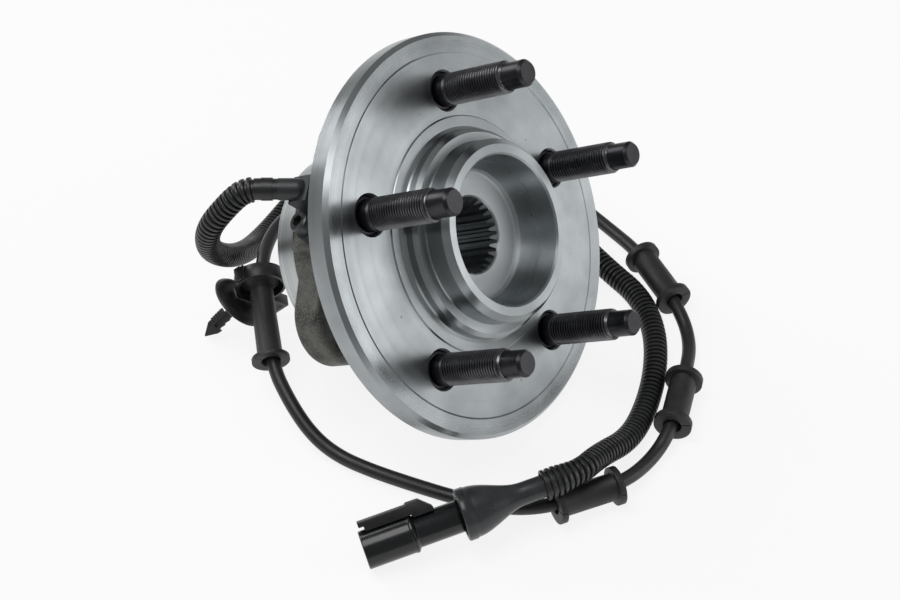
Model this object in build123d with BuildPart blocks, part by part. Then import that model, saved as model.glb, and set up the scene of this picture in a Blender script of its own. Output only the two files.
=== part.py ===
"""Flanged wheel hub bearing with a wheel-speed sensor and its harness.

A driven hub: the splined flange turns in a cast outer ring on two rows of
balls, and the outer ring bolts to the knuckle by three ears.  The hub is
modelled as it lies on a bench, leaning back on the rim of its flange, the end
of its barrel and one ear, with the harness in loose curves round it.
Millimetres, +Z up, bench top at Z = 0.
"""

from build123d import *
from math import acos, atan2, cos, degrees, radians, sin, sqrt, tan
import os

os.makedirs("parts", exist_ok=True)

# --------------------------------------------------------------------------
# Driving dimensions, mm and degrees
# --------------------------------------------------------------------------

# Wheel flange
FLANGE_R = 80.0
FLANGE_T = 10.0
FLANGE_FRONT_CHAMFER = 1.7
FLANGE_REAR_CHAMFER = 0.8
FLANGE_GROOVE_R = FLANGE_R - 8.4
FLANGE_GROOVE_W = 0.8
FLANGE_GROOVE_DEPTH = 0.3

# Steps round the centre of the flange, seen from the wheel
BAND_R = 46.8
BAND_H = 0.6
DISC_PILOT_R = 41.0
DISC_PILOT_H = 7.0
DISC_PILOT_CHAMFER = 1.6
PILOT_FOOT_H = 1.8
PILOT_FACE_DROP = 0.5
WHEEL_PILOT_R = 35.65
WHEEL_PILOT_H = 17.6
WHEEL_PILOT_CHAMFER = 2.3
MOUTH_R = 29.3
MOUTH_LIP_CHAMFER = 0.7
RECESS_FOOT_R = 26.0
RECESS_FOOT_H = 1.6
FLOOR_H = -1.0

# Splined bore for the drive shaft
SPLINE_TEETH = 27
SPLINE_ROOT_R = 15.1
SPLINE_TIP_R = 13.7
SPLINE_LEAD_IN = 0.7
SPLINE_REAR_H = -62.0
REAR_COUNTERBORE_R = 15.8

# Wheel studs
STUD_COUNT = 5
STUD_PCD = 114.3
STUD_START_ANGLE = -8.2
STUD_D = 12.7
STUD_REACH = 42.5
STUD_THREAD_END = 33.7
STUD_POINT_D = 10.4
STUD_POINT_CHAMFER = 1.2
STUD_KNURL_D = 15.2
STUD_KNURL_SINK = 0.9
STUD_HOLE_CHAMFER = 0.7
STUD_HEAD_D = 19.5
STUD_HEAD_T = 4.0

# Bearing
BALL_D = 12.7
BALL_R = BALL_D / 2
BALLS_PER_ROW = 13
PITCH_R = 30.5
OUTBOARD_ROW_H = -30.0
INBOARD_ROW_H = -57.0
BALL_CLEARANCE = 0.08
GROOVE_R = BALL_R + BALL_CLEARANCE
RACE_BOTTOM_R = PITCH_R + GROOVE_R
OUTER_LAND_R = PITCH_R + 3.5
INNER_LAND_R = PITCH_R - 6.1
SHOULDER_R = PITCH_R - 2.9
BOSS_R = 35.5
BOSS_H = -15.5
SPINDLE_R = 20.5
RING_INNER_END_H = -40.5
ROLLED_R = 25.5
ROLLED_T = 3.5
CAGE_POCKET_CLEARANCE = 0.12
CAGE_INNER_R = PITCH_R - 2.3
CAGE_OUTER_R = PITCH_R + 2.3
CAGE_BACK = 8.2
CAGE_FRONT = 3.2
PRESS_GAP = 0.02
RUNNING_GAP = 0.3

# Outer ring casting
BARREL_R = 41.3
BARREL_END_H = -70.0
BARREL_CHAMFER = 0.8
BODY_R = BARREL_R + 2.2
BODY_FRONT_H = -20.0
BODY_FRONT_CHAMFER = 2.0
SEAL_SEAT_R = RACE_BOTTOM_R + 1.07
EAR_REAR_H = -58.0
EAR_T = 12.5
EAR_COUNT = 3
EAR_START_ANGLE = -50.2
EAR_LOBE_CENTRE_R = 37.4
EAR_LOBE_R = 19.7
EAR_EDGE_R = 2.4
EAR_HOLE_R = 5.1
EAR_HOLE_PCD = 97.0
EAR_TOP_SHIFT = -5.5

# Seals and slingers
SEAL_T = 3.1
SLINGER_T = 0.8
SLINGER_RIM_R = SEAL_SEAT_R - 0.8
SLINGER_HUB_W = 2.6
SEAL_CASE_T = 0.9
SEAL_LIP_COUNT_GAP = 0.9

# Tone ring
TONE_W = 5.0
TONE_R = OUTER_LAND_R - 0.9
TONE_TEETH = 44
TONE_SLOT_DEPTH = 2.2
TONE_SLOT_W = 2.2
TONE_H = -43.0

# Sensor and its pad on the casting
SENSOR_ANGLE = 120.0
SENSOR_H = -43.0
PAD_R = BODY_R + 0.5
PAD_LEFT = 8.0
PAD_RIGHT = 20.0
PAD_FRONT = 10.0
PAD_BACK = 11.0
PAD_SINK = 6.0
SENSOR_TIP_R = 4.9
SENSOR_TIP_GAP = 0.8
SENSOR_HOLE_R = 5.2
SENSOR_SCREW_OFFSET = 11.8
SENSOR_TAB_T = 4.5
SENSOR_TAB_HALF_W = 6.4
SENSOR_TAB_END_R = 5.6
SENSOR_HEAD_W = 10.8
SENSOR_HEAD_FRONT = 5.8
SENSOR_HEAD_REAR = 4.6
SENSOR_HEAD_H = 13.3
SENSOR_HEAD_CHAMFER = 1.4
GUSSET_T = 5.5
LEAD_HEIGHT = 13.0
LEAD_AZIMUTH = 119.6
LEAD_STUB_R = 4.3
LEAD_STUB_L = 7.4
OVERMOULD_R = 4.1
OVERMOULD_L = 2.1
COLLAR_R = 4.5
COLLAR_L = 4.45
SCREW_R = 3.0
SCREW_L = 12.0
SCREW_HEAD_R = 4.3
SCREW_HEAD_H = 5.0
SCREW_SOCKET_R = 2.5
SCREW_SOCKET_DEPTH = 3.0
SCREW_CLEARANCE = 0.2
O_RING_R = 0.9
O_RING_DEPTH = 3.0

# Harness
CABLE_R = 2.85
CONDUIT_R = 5.0
CONDUIT_WALL = 1.5
SLEEVE_WALL = 1.1
GROMMET_BORE_CLEARANCE = 0.65
GROMMET_MOUTH_CLEARANCE = 1.9
GROMMET_SLEEVE_R = 5.5
GROMMET_FLANGE_R = 7.7
GROMMET_FLANGE_T = 2.6
GROMMET_MARGIN = 1.0
CLIP_FLANGE_R = 7.8
CLIP_FLANGE_T = 1.6
CLIP_SLEEVE_R = 5.2
DRUM_R = 9.05
DRUM_L = 3.5
DRUM_NECK_L = 3.8
BAND_CLIP_WALL = 1.2
BAND_CLIP_W = 6.4
BAND_CLIP_GAP = 0.25
CLIP_WEB_W = 11.0
LATCH_T = 2.4
LATCH_REAR = 3.2
LATCH_FRONT = 2.2
FOOT_REACH = 19.0
FOOT_T = 1.8
FOOT_W = 5.0
FOOT_FROM = 4.8
FOOT_DOWN = 12.8
DISH_R = 12.8
DISH_T = 1.4
DISH_SINK = 2.6
DISH_NECK = 0.5
PIN_R = 2.1
PIN_L = 23.6
PIN_HEAD_R = 3.8
PIN_HEAD_L = 6.2
PIN_FIN_R = 3.3
PIN_FIN_PITCH = 1.55
PIN_FIN_FROM = 6.8
PIN_FINS = 5
PIN_DROP = 45.0
PIN_LEAN = 12.6

# Boot and connector on the end of the harness
BOOT_TAIL_R = 4.4
BOOT_TAIL_L = 14.0
BOOT_BELL_R = 9.9
BOOT_BELL_L = 21.0
BOOT_LIP_R = 10.4
BOOT_LIP_L = 4.0
BOOT_MOUTH_R = 8.9
BOOT_MOUTH_DEPTH = 8.0
BOOT_CABLE_DEPTH = 10.0
CONNECTOR_REAR_R = 6.25
CONNECTOR_REAR_L = 31.0
CONNECTOR_IN_BOOT = 12.0
CONNECTOR_FRONT_R = 7.5
CONNECTOR_FRONT_L = 20.0
CONNECTOR_CAVITY_R = 6.1
CONNECTOR_MOUTH_L = 6.0
CONNECTOR_CAVITY_L = 14.0
CONNECTOR_INNER_R = 5.5
CONNECTOR_FIT = 0.1
LOCK_W = 8.4
LOCK_L = 29.0
LOCK_TOP = 10.9
LOCK_FOOT = 5.8
LOCK_PAD_TOP = 12.0
LOCK_PAD_L = 4.0
LOCK_RAMP_L = 5.0
LOCK_ANGLE = 48.0
LOCK_GAP = 0.3
TERMINAL_W = 1.5
TERMINAL_L = 7.8
TERMINAL_PITCH = 4.4

# --------------------------------------------------------------------------
# Stance and work planes
# --------------------------------------------------------------------------

# The hub leans back: the front edge of the flange's rear corner and the rear
# corner of the barrel both stand on the bench.
FLANGE_EDGE_H = -(FLANGE_T - FLANGE_REAR_CHAMFER)
BARREL_EDGE_H = BARREL_END_H + BARREL_CHAMFER
LEAN = degrees(atan2(FLANGE_EDGE_H - BARREL_EDGE_H, FLANGE_R - BARREL_R))
LEAN = 90.0 - LEAN
FACE_Y = -6.18
FACE = Vector(
    0.0,
    FACE_Y,
    FLANGE_R * cos(radians(LEAN)) - FLANGE_EDGE_H * sin(radians(LEAN)),
)
AXIS_DIR = Vector(0.0, -cos(radians(LEAN)), sin(radians(LEAN)))

# Wheel face: X to the right, Y up the face, Z out along the spin axis.
SPIN = Plane(origin=FACE, x_dir=(1, 0, 0), z_dir=AXIS_DIR)
SPIN_AXIS = Axis(SPIN.origin, SPIN.z_dir)
# Axial half-section: X is the radius, Y the height along the spin axis.
SECTION = Plane(origin=SPIN.origin, x_dir=SPIN.x_dir, z_dir=-SPIN.y_dir)

STUD_R = STUD_D / 2
STUD_CIRCLE_R = STUD_PCD / 2
EAR_FRONT_H = EAR_REAR_H + EAR_T

# Sensor pad: X round the ring, Y along the spin axis, Z straight out.
SENSOR_OUT = SPIN.x_dir * cos(radians(SENSOR_ANGLE)) + SPIN.y_dir * sin(radians(SENSOR_ANGLE))
SENSOR_ROUND = SPIN.y_dir * cos(radians(SENSOR_ANGLE)) - SPIN.x_dir * sin(radians(SENSOR_ANGLE))
PAD = Plane(
    origin=SPIN.origin + SENSOR_OUT * PAD_R + SPIN.z_dir * SENSOR_H,
    x_dir=SENSOR_ROUND,
    z_dir=SENSOR_OUT,
)
LEAD_DIR = Vector(cos(radians(LEAD_AZIMUTH)), sin(radians(LEAD_AZIMUTH)), 0.0)
LEAD = Plane(
    origin=PAD.origin + PAD.z_dir * LEAD_HEIGHT,
    x_dir=LEAD_DIR.cross(Vector(0, 0, 1)),
    z_dir=LEAD_DIR,
)

# Side view of the sensor: X along the spin axis, Y straight out.
PAD_SIDE = Plane(origin=PAD.origin, x_dir=PAD.y_dir, z_dir=PAD.x_dir)


def half_section(plane: Plane) -> Plane:
    """Plane through a work plane's axis, X its radius and Y its height."""
    return Plane(origin=plane.origin, x_dir=plane.x_dir, z_dir=-plane.y_dir)


# --------------------------------------------------------------------------
# Harness route: one strand from the sensor to the connector
# --------------------------------------------------------------------------

ROUTE = [
    (-35.42, 68.88, 90.39),
    (-38.20, 73.77, 90.39),
    (-42.6, 78.3, 85.8),
    (-48.6, 87.7, 70.8),
    (-41.7, 91.1, 51.7),
    (-16.6, 109.3, 21.1),
    (6.1, 110.9, 3.4),
    (42.8, 107.2, 9.0),
    (83.0, 108.0, 5.4),
    (107.0, 84.0, 5.2),
    (117.0, 48.0, 3.4),
    (109.0, 8.0, 3.0),
    (97.0, -22.2, 3.0),
    (84.3, -42.7, 8.0),
    (65.2, -68.7, 8.0),
    (52.1, -82.2, 3.0),
    (28.4, -89.7, 8.0),
    (0.3, -96.7, 8.0),
    (-14.7, -95.4, 3.0),
    (-35.5, -91.5, 8.0),
    (-58.6, -73.4, 8.4),
    (-64.6, -57.0, 3.0),
    (-69.2, -39.2, 3.0),
    (-71.9, -22.1, 3.0),
    (-74.3, -1.8, 3.0),
    (-75.0, 14.0, 3.8),
    (-73.2, 27.0, 7.5),
    (-67.5, 40.5, 13.5),
    (-57.5, 55.5, 18.8),
    (-25.3, 82.2, 29.4),
    (-1.2, 92.3, 28.6),
    (21.6, 94.2, 22.9),
    (38.0, 96.0, 14.5),
    (66.0, 86.0, 6.0),
    (90.0, 60.0, 5.4),
    (94.0, 22.0, 5.2),
    (84.0, -8.0, 5.2),
    (70.5, -35.1, 5.2),
    (63.5, -52.4, 5.2),
    (48.6, -66.9, 5.2),
    (28.1, -77.0, 5.2),
    (6.2, -82.7, 5.2),
    (-13.8, -84.5, 8.0),
    (-33.6, -80.1, 16.2),
    (-49.6, -79.3, 22.2),
    (-63.0, -66.9, 19.2),
]
cable_splits = (13, 28)
conduit_1_span = (0, 8)
conduit_2_first = 34
grommet_runs = (13, 16, 19)
clip_run = 28
ARC_SHARE = 0.45

points = [Vector(*p) for p in ROUTE]


def corner_radius(i: int) -> float:
    """Largest arc that the two runs beside route point i leave room for."""
    before = points[i] - points[i - 1]
    after = points[i + 1] - points[i]
    half_turn = radians(before.get_angle(after)) / 2
    return ARC_SHARE * min(before.length, after.length) / tan(half_turn)


def run_middle(i: int) -> Vector:
    """Middle of the run from route point i to the next."""
    return (points[i] + points[i + 1]) * 0.5


def run_plane(i: int, margin: float) -> Plane:
    """Plane square to run i, its origin a margin past the run's first point."""
    along = (points[i + 1] - points[i]).normalized()
    side = along.cross(Vector(0, 0, 1)).normalized()
    return Plane(origin=points[i] + along * margin, x_dir=side, z_dir=along)


route_radii = [corner_radius(i) for i in range(1, len(points) - 1)]
print("route radii:", " ".join(f"{r:.1f}" for r in route_radii))

# --------------------------------------------------------------------------
# Rotor: flange and spindle
# --------------------------------------------------------------------------

race_drop_out = sqrt(GROOVE_R**2 - (PITCH_R - SHOULDER_R) ** 2)
race_drop_in = sqrt(GROOVE_R**2 - (PITCH_R - INNER_LAND_R) ** 2)
race_drop_land = sqrt(GROOVE_R**2 - (OUTER_LAND_R - PITCH_R) ** 2)

with BuildPart() as hub_flange_spindle:
    with BuildSketch(SECTION):
        with BuildLine():
            Polyline(
                (SPLINE_TIP_R, SPLINE_REAR_H),
                (REAR_COUNTERBORE_R, SPLINE_REAR_H),
                (REAR_COUNTERBORE_R, BARREL_END_H - ROLLED_T),
                (ROLLED_R - 1.2, BARREL_END_H - ROLLED_T),
                (ROLLED_R, BARREL_END_H - ROLLED_T + 1.2),
                (ROLLED_R, BARREL_END_H),
                (SPINDLE_R, BARREL_END_H),
                (SPINDLE_R, RING_INNER_END_H),
                (INNER_LAND_R, RING_INNER_END_H),
                (INNER_LAND_R, OUTBOARD_ROW_H - race_drop_in),
            )
            RadiusArc(
                (INNER_LAND_R, OUTBOARD_ROW_H - race_drop_in),
                (SHOULDER_R, OUTBOARD_ROW_H + race_drop_out),
                GROOVE_R,
            )
            Polyline(
                (SHOULDER_R, OUTBOARD_ROW_H + race_drop_out),
                (SHOULDER_R, BOSS_H),
                (BOSS_R, BOSS_H),
                (BOSS_R + 2.5, -FLANGE_T),
                (FLANGE_R - FLANGE_REAR_CHAMFER, -FLANGE_T),
                (FLANGE_R, FLANGE_EDGE_H),
                (FLANGE_R, -FLANGE_FRONT_CHAMFER),
                (FLANGE_R - FLANGE_FRONT_CHAMFER, 0),
                (FLANGE_GROOVE_R + FLANGE_GROOVE_W, 0),
                (FLANGE_GROOVE_R + FLANGE_GROOVE_W / 2, -FLANGE_GROOVE_DEPTH),
                (FLANGE_GROOVE_R, 0),
                (BAND_R, 0),
                (BAND_R, BAND_H),
                (DISC_PILOT_R + 0.7, PILOT_FOOT_H),
                (DISC_PILOT_R, PILOT_FOOT_H),
                (DISC_PILOT_R, DISC_PILOT_H - DISC_PILOT_CHAMFER),
                (DISC_PILOT_R - DISC_PILOT_CHAMFER, DISC_PILOT_H),
                (WHEEL_PILOT_R + 0.4, DISC_PILOT_H),
                (WHEEL_PILOT_R, DISC_PILOT_H + PILOT_FACE_DROP),
                (WHEEL_PILOT_R, WHEEL_PILOT_H - WHEEL_PILOT_CHAMFER),
                (WHEEL_PILOT_R - WHEEL_PILOT_CHAMFER, WHEEL_PILOT_H),
                (MOUTH_R + MOUTH_LIP_CHAMFER, WHEEL_PILOT_H),
                (MOUTH_R, WHEEL_PILOT_H - MOUTH_LIP_CHAMFER),
                (RECESS_FOOT_R, RECESS_FOOT_H),
                (RECESS_FOOT_R, FLOOR_H),
                (SPLINE_ROOT_R + SPLINE_LEAD_IN, FLOOR_H),
                (SPLINE_TIP_R, FLOOR_H - SPLINE_LEAD_IN - (SPLINE_ROOT_R - SPLINE_TIP_R)),
                (SPLINE_TIP_R, SPLINE_REAR_H),
            )
        make_face()
    revolve(axis=SPIN_AXIS)
    # Stud holes through the flange, opened at the wheel face
    with BuildSketch(SPIN.offset(-FLANGE_T)):
        with PolarLocations(STUD_CIRCLE_R, STUD_COUNT, start_angle=STUD_START_ANGLE):
            Circle(STUD_KNURL_D / 2 + PRESS_GAP)
    extrude(amount=FLANGE_T, mode=Mode.SUBTRACT)
    with Locations(SPIN):
        with PolarLocations(STUD_CIRCLE_R, STUD_COUNT, start_angle=STUD_START_ANGLE):
            Cone(
                STUD_KNURL_D / 2 - STUD_HOLE_CHAMFER,
                STUD_KNURL_D / 2 + STUD_HOLE_CHAMFER,
                2 * STUD_HOLE_CHAMFER,
                align=(Align.CENTER, Align.CENTER, Align.MAX),
                mode=Mode.SUBTRACT,
            )
    # Internal spline
    with BuildSketch(SPIN.offset(FLOOR_H)):
        with PolarLocations(0, SPLINE_TEETH):
            with BuildLine():
                half_foot = radians(360 / SPLINE_TEETH * 0.27)
                half_root = radians(360 / SPLINE_TEETH * 0.17)
                inside = SPLINE_TIP_R - 0.6
                Polyline(
                    (inside, -inside * tan(half_foot)),
                    (SPLINE_ROOT_R, -SPLINE_ROOT_R * tan(half_root)),
                    (SPLINE_ROOT_R, SPLINE_ROOT_R * tan(half_root)),
                    (inside, inside * tan(half_foot)),
                    close=True,
                )
            make_face()
    extrude(amount=-(FLOOR_H - SPLINE_REAR_H), mode=Mode.SUBTRACT)
hub_flange_spindle.part.label = "hub_flange_spindle"

with BuildPart() as wheel_stud:
    with BuildSketch(Plane.XZ):
        with BuildLine():
            Polyline(
                (0, -FLANGE_T - STUD_HEAD_T),
                (STUD_HEAD_D / 2 - 0.8, -FLANGE_T - STUD_HEAD_T),
                (STUD_HEAD_D / 2, -FLANGE_T - STUD_HEAD_T + 0.8),
                (STUD_HEAD_D / 2, -FLANGE_T),
                (STUD_KNURL_D / 2, -FLANGE_T),
                (STUD_KNURL_D / 2, -STUD_KNURL_SINK),
                (STUD_R, -STUD_KNURL_SINK + 0.3),
                (STUD_R, STUD_THREAD_END - (STUD_D - STUD_POINT_D) / 2),
                (STUD_POINT_D / 2, STUD_THREAD_END),
                (STUD_POINT_D / 2, STUD_REACH - STUD_POINT_CHAMFER),
                (STUD_POINT_D / 2 - STUD_POINT_CHAMFER, STUD_REACH),
                (0, STUD_REACH),
                close=True,
            )
        make_face()
    revolve(axis=Axis.Z)

with BuildPart() as wheel_studs:
    with Locations(SPIN):
        with PolarLocations(STUD_CIRCLE_R, STUD_COUNT, start_angle=STUD_START_ANGLE):
            add(wheel_stud.part)
wheel_studs.part.label = "wheel_studs"

RING_REAR_H = BARREL_END_H
with BuildPart() as inner_ring:
    with BuildSketch(SECTION):
        with BuildLine():
            Polyline(
                (INNER_LAND_R, INBOARD_ROW_H + race_drop_in),
                (INNER_LAND_R, RING_INNER_END_H - PRESS_GAP),
                (SPINDLE_R + PRESS_GAP, RING_INNER_END_H - PRESS_GAP),
                (SPINDLE_R + PRESS_GAP, RING_REAR_H + PRESS_GAP),
                (SHOULDER_R - 0.6, RING_REAR_H + PRESS_GAP),
                (SHOULDER_R, RING_REAR_H + 0.6),
                (SHOULDER_R, INBOARD_ROW_H - race_drop_out),
            )
            RadiusArc(
                (SHOULDER_R, INBOARD_ROW_H - race_drop_out),
                (INNER_LAND_R, INBOARD_ROW_H + race_drop_in),
                GROOVE_R,
            )
        make_face()
    revolve(axis=SPIN_AXIS)
inner_ring.part.label = "inner_ring"

with BuildPart() as tone_ring:
    with BuildSketch(SPIN.offset(TONE_H - TONE_W / 2)):
        Circle(TONE_R)
        Circle(INNER_LAND_R + PRESS_GAP, mode=Mode.SUBTRACT)
        with PolarLocations(TONE_R, TONE_TEETH):
            Rectangle(2 * TONE_SLOT_DEPTH, TONE_SLOT_W, mode=Mode.SUBTRACT)
    extrude(amount=TONE_W)
tone_ring.part.label = "tone_ring"

with BuildPart() as outboard_slinger:
    with BuildSketch(SECTION):
        with BuildLine():
            top = BOSS_H - PRESS_GAP
            foot = top - SLINGER_HUB_W
            Polyline(
                (SHOULDER_R + PRESS_GAP, top),
                (SLINGER_RIM_R, top),
                (SLINGER_RIM_R, top - SLINGER_T),
                (SHOULDER_R + PRESS_GAP + SLINGER_T, top - SLINGER_T),
                (SHOULDER_R + PRESS_GAP + SLINGER_T, foot),
                (SHOULDER_R + PRESS_GAP, foot),
                close=True,
            )
        make_face()
    revolve(axis=SPIN_AXIS)
outboard_slinger.part.label = "outboard_slinger"

with BuildPart() as inboard_slinger:
    with BuildSketch(SECTION):
        with BuildLine():
            top = RING_REAR_H + 1.0
            Polyline(
                (SHOULDER_R + PRESS_GAP, top),
                (SLINGER_RIM_R, top),
                (SLINGER_RIM_R, top + SLINGER_T),
                (SHOULDER_R + PRESS_GAP + SLINGER_T, top + SLINGER_T),
                (SHOULDER_R + PRESS_GAP + SLINGER_T, top + SLINGER_HUB_W - SLINGER_T),
                (SHOULDER_R + PRESS_GAP, top + SLINGER_HUB_W - SLINGER_T),
                close=True,
            )
        make_face()
    revolve(axis=SPIN_AXIS)
inboard_slinger.part.label = "inboard_slinger"

# --------------------------------------------------------------------------
# Balls and cages, one set for each row
# --------------------------------------------------------------------------

with BuildPart() as outboard_balls:
    with Locations(SPIN.offset(OUTBOARD_ROW_H)):
        with PolarLocations(PITCH_R, BALLS_PER_ROW):
            Sphere(BALL_R)
outboard_balls.part.label = "outboard_balls"

with BuildPart() as inboard_balls:
    with Locations(SPIN.offset(INBOARD_ROW_H)):
        with PolarLocations(PITCH_R, BALLS_PER_ROW):
            Sphere(BALL_R)
inboard_balls.part.label = "inboard_balls"

with BuildPart() as outboard_cage:
    with BuildSketch(SPIN.offset(OUTBOARD_ROW_H + CAGE_FRONT)):
        Circle(CAGE_OUTER_R)
        Circle(CAGE_INNER_R, mode=Mode.SUBTRACT)
    extrude(amount=-(CAGE_FRONT + CAGE_BACK))
    with Locations(SPIN.offset(OUTBOARD_ROW_H)):
        with PolarLocations(PITCH_R, BALLS_PER_ROW):
            Sphere(BALL_R + CAGE_POCKET_CLEARANCE, mode=Mode.SUBTRACT)
outboard_cage.part.label = "outboard_cage"

with BuildPart() as inboard_cage:
    with BuildSketch(SPIN.offset(INBOARD_ROW_H - CAGE_FRONT)):
        Circle(CAGE_OUTER_R)
        Circle(CAGE_INNER_R, mode=Mode.SUBTRACT)
    extrude(amount=CAGE_FRONT + CAGE_BACK)
    with Locations(SPIN.offset(INBOARD_ROW_H)):
        with PolarLocations(PITCH_R, BALLS_PER_ROW):
            Sphere(BALL_R + CAGE_POCKET_CLEARANCE, mode=Mode.SUBTRACT)
inboard_cage.part.label = "inboard_cage"

# --------------------------------------------------------------------------
# Stator: cast outer ring with three ears, seals
# --------------------------------------------------------------------------

SEAL_SHELF_OUT_H = BODY_FRONT_H - SEAL_T - PRESS_GAP
SEAL_SHELF_IN_H = BARREL_END_H + SLINGER_HUB_W + SEAL_T

with BuildPart() as outer_ring:
    # Ear plate: three rounded lobes, the top one turned clear of the sensor
    with BuildSketch(SPIN.offset(EAR_REAR_H)):
        for i, turn in enumerate((0.0, EAR_TOP_SHIFT, 0.0)):
            at = EAR_START_ANGLE + i * 360 / EAR_COUNT + turn
            with PolarLocations(EAR_LOBE_CENTRE_R, 1, start_angle=at):
                Circle(EAR_LOBE_R)
        make_hull()
    extrude(amount=EAR_T)
    fillet(faces().filter_by(SPIN).sort_by(SPIN_AXIS)[-1].edges(), EAR_EDGE_R)
    # Flat pad for the sensor, sunk into the wall
    with BuildSketch(PAD.offset(-PAD_SINK)):
        with Locations(((PAD_RIGHT - PAD_LEFT) / 2, (PAD_FRONT - PAD_BACK) / 2)):
            RectangleRounded(PAD_LEFT + PAD_RIGHT, PAD_FRONT + PAD_BACK, 2.5)
    extrude(amount=PAD_SINK)
    with BuildSketch(SECTION):
        Polygon(
            (RACE_BOTTOM_R + 0.4, BARREL_END_H),
            (BARREL_R - BARREL_CHAMFER, BARREL_END_H),
            (BARREL_R, BARREL_EDGE_H),
            (BARREL_R, EAR_REAR_H),
            (BODY_R, EAR_REAR_H),
            (BODY_R, BODY_FRONT_H - BODY_FRONT_CHAMFER),
            (BODY_R - BODY_FRONT_CHAMFER, BODY_FRONT_H),
            (RACE_BOTTOM_R + 0.4, BODY_FRONT_H),
            align=None,
        )
    revolve(axis=SPIN_AXIS)
    # Seal seats, race bores and the land between the rows
    with BuildSketch(SECTION):
        with BuildLine():
            Polyline(
                (0, BARREL_END_H),
                (SEAL_SEAT_R, BARREL_END_H),
                (SEAL_SEAT_R, SEAL_SHELF_IN_H),
                (RACE_BOTTOM_R, SEAL_SHELF_IN_H),
                (RACE_BOTTOM_R, INBOARD_ROW_H),
            )
            RadiusArc(
                (RACE_BOTTOM_R, INBOARD_ROW_H),
                (OUTER_LAND_R, INBOARD_ROW_H + race_drop_land),
                -GROOVE_R,
            )
            Line(
                (OUTER_LAND_R, INBOARD_ROW_H + race_drop_land),
                (OUTER_LAND_R, OUTBOARD_ROW_H - race_drop_land),
            )
            RadiusArc(
                (OUTER_LAND_R, OUTBOARD_ROW_H - race_drop_land),
                (RACE_BOTTOM_R, OUTBOARD_ROW_H),
                -GROOVE_R,
            )
            Polyline(
                (RACE_BOTTOM_R, OUTBOARD_ROW_H),
                (RACE_BOTTOM_R, SEAL_SHELF_OUT_H),
                (SEAL_SEAT_R, SEAL_SHELF_OUT_H),
                (SEAL_SEAT_R, BODY_FRONT_H),
                (0, BODY_FRONT_H),
                (0, BARREL_END_H),
            )
        make_face()
    revolve(axis=SPIN_AXIS, mode=Mode.SUBTRACT)
    # Tapped holes through the ears
    with BuildSketch(SPIN.offset(EAR_REAR_H)):
        with PolarLocations(EAR_HOLE_PCD / 2, EAR_COUNT, start_angle=EAR_START_ANGLE):
            Circle(EAR_HOLE_R)
    extrude(amount=EAR_T, mode=Mode.SUBTRACT)
    # Sensor bore and its screw hole
    with BuildSketch(PAD):
        Circle(SENSOR_HOLE_R)
    extrude(amount=-(PAD_R - OUTER_LAND_R + 3.0), mode=Mode.SUBTRACT)
    with BuildSketch(PAD):
        with Locations((SENSOR_SCREW_OFFSET, 0)):
            Circle(SCREW_R + PRESS_GAP)
    extrude(amount=-(SCREW_L - SENSOR_TAB_T + 0.5), mode=Mode.SUBTRACT)
outer_ring.part.label = "outer_ring"

with BuildPart() as outboard_seal:
    with BuildSketch(SECTION):
        with BuildLine():
            top = BODY_FRONT_H
            foot = top - SEAL_T
            inside = SHOULDER_R + RUNNING_GAP
            Polyline(
                (SEAL_SEAT_R - PRESS_GAP, top),
                (SEAL_SEAT_R - PRESS_GAP, foot),
                (inside + 2.2, foot),
                (inside, foot + 0.9),
                (inside, foot + 1.5),
                (inside + 3.0, foot + SEAL_CASE_T + 0.8),
                (SEAL_SEAT_R - PRESS_GAP - 3.0, foot + SEAL_CASE_T + 0.8),
                (SEAL_SEAT_R - PRESS_GAP - 1.4, top),
                close=True,
            )
        make_face()
    revolve(axis=SPIN_AXIS)
outboard_seal.part.label = "outboard_seal"

with BuildPart() as inboard_seal:
    with BuildSketch(SECTION):
        with BuildLine():
            foot = RING_REAR_H + 1.0 + SLINGER_T + SEAL_LIP_COUNT_GAP
            top = SEAL_SHELF_IN_H - PRESS_GAP
            inside = SHOULDER_R + PRESS_GAP + SLINGER_T + RUNNING_GAP
            Polyline(
                (SEAL_SEAT_R - PRESS_GAP, foot),
                (SEAL_SEAT_R - PRESS_GAP, top),
                (inside + 2.2, top),
                (inside, top - 0.9),
                (inside, top - 1.5),
                (inside + 3.0, top - SEAL_CASE_T - 0.8),
                (SEAL_SEAT_R - PRESS_GAP - 3.0, top - SEAL_CASE_T - 0.8),
                (SEAL_SEAT_R - PRESS_GAP - 1.4, foot),
                close=True,
            )
        make_face()
    revolve(axis=SPIN_AXIS)
inboard_seal.part.label = "inboard_seal"

# --------------------------------------------------------------------------
# Wheel-speed sensor
# --------------------------------------------------------------------------

TIP_REACH = PAD_R - TONE_R - SENSOR_TIP_GAP

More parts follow.
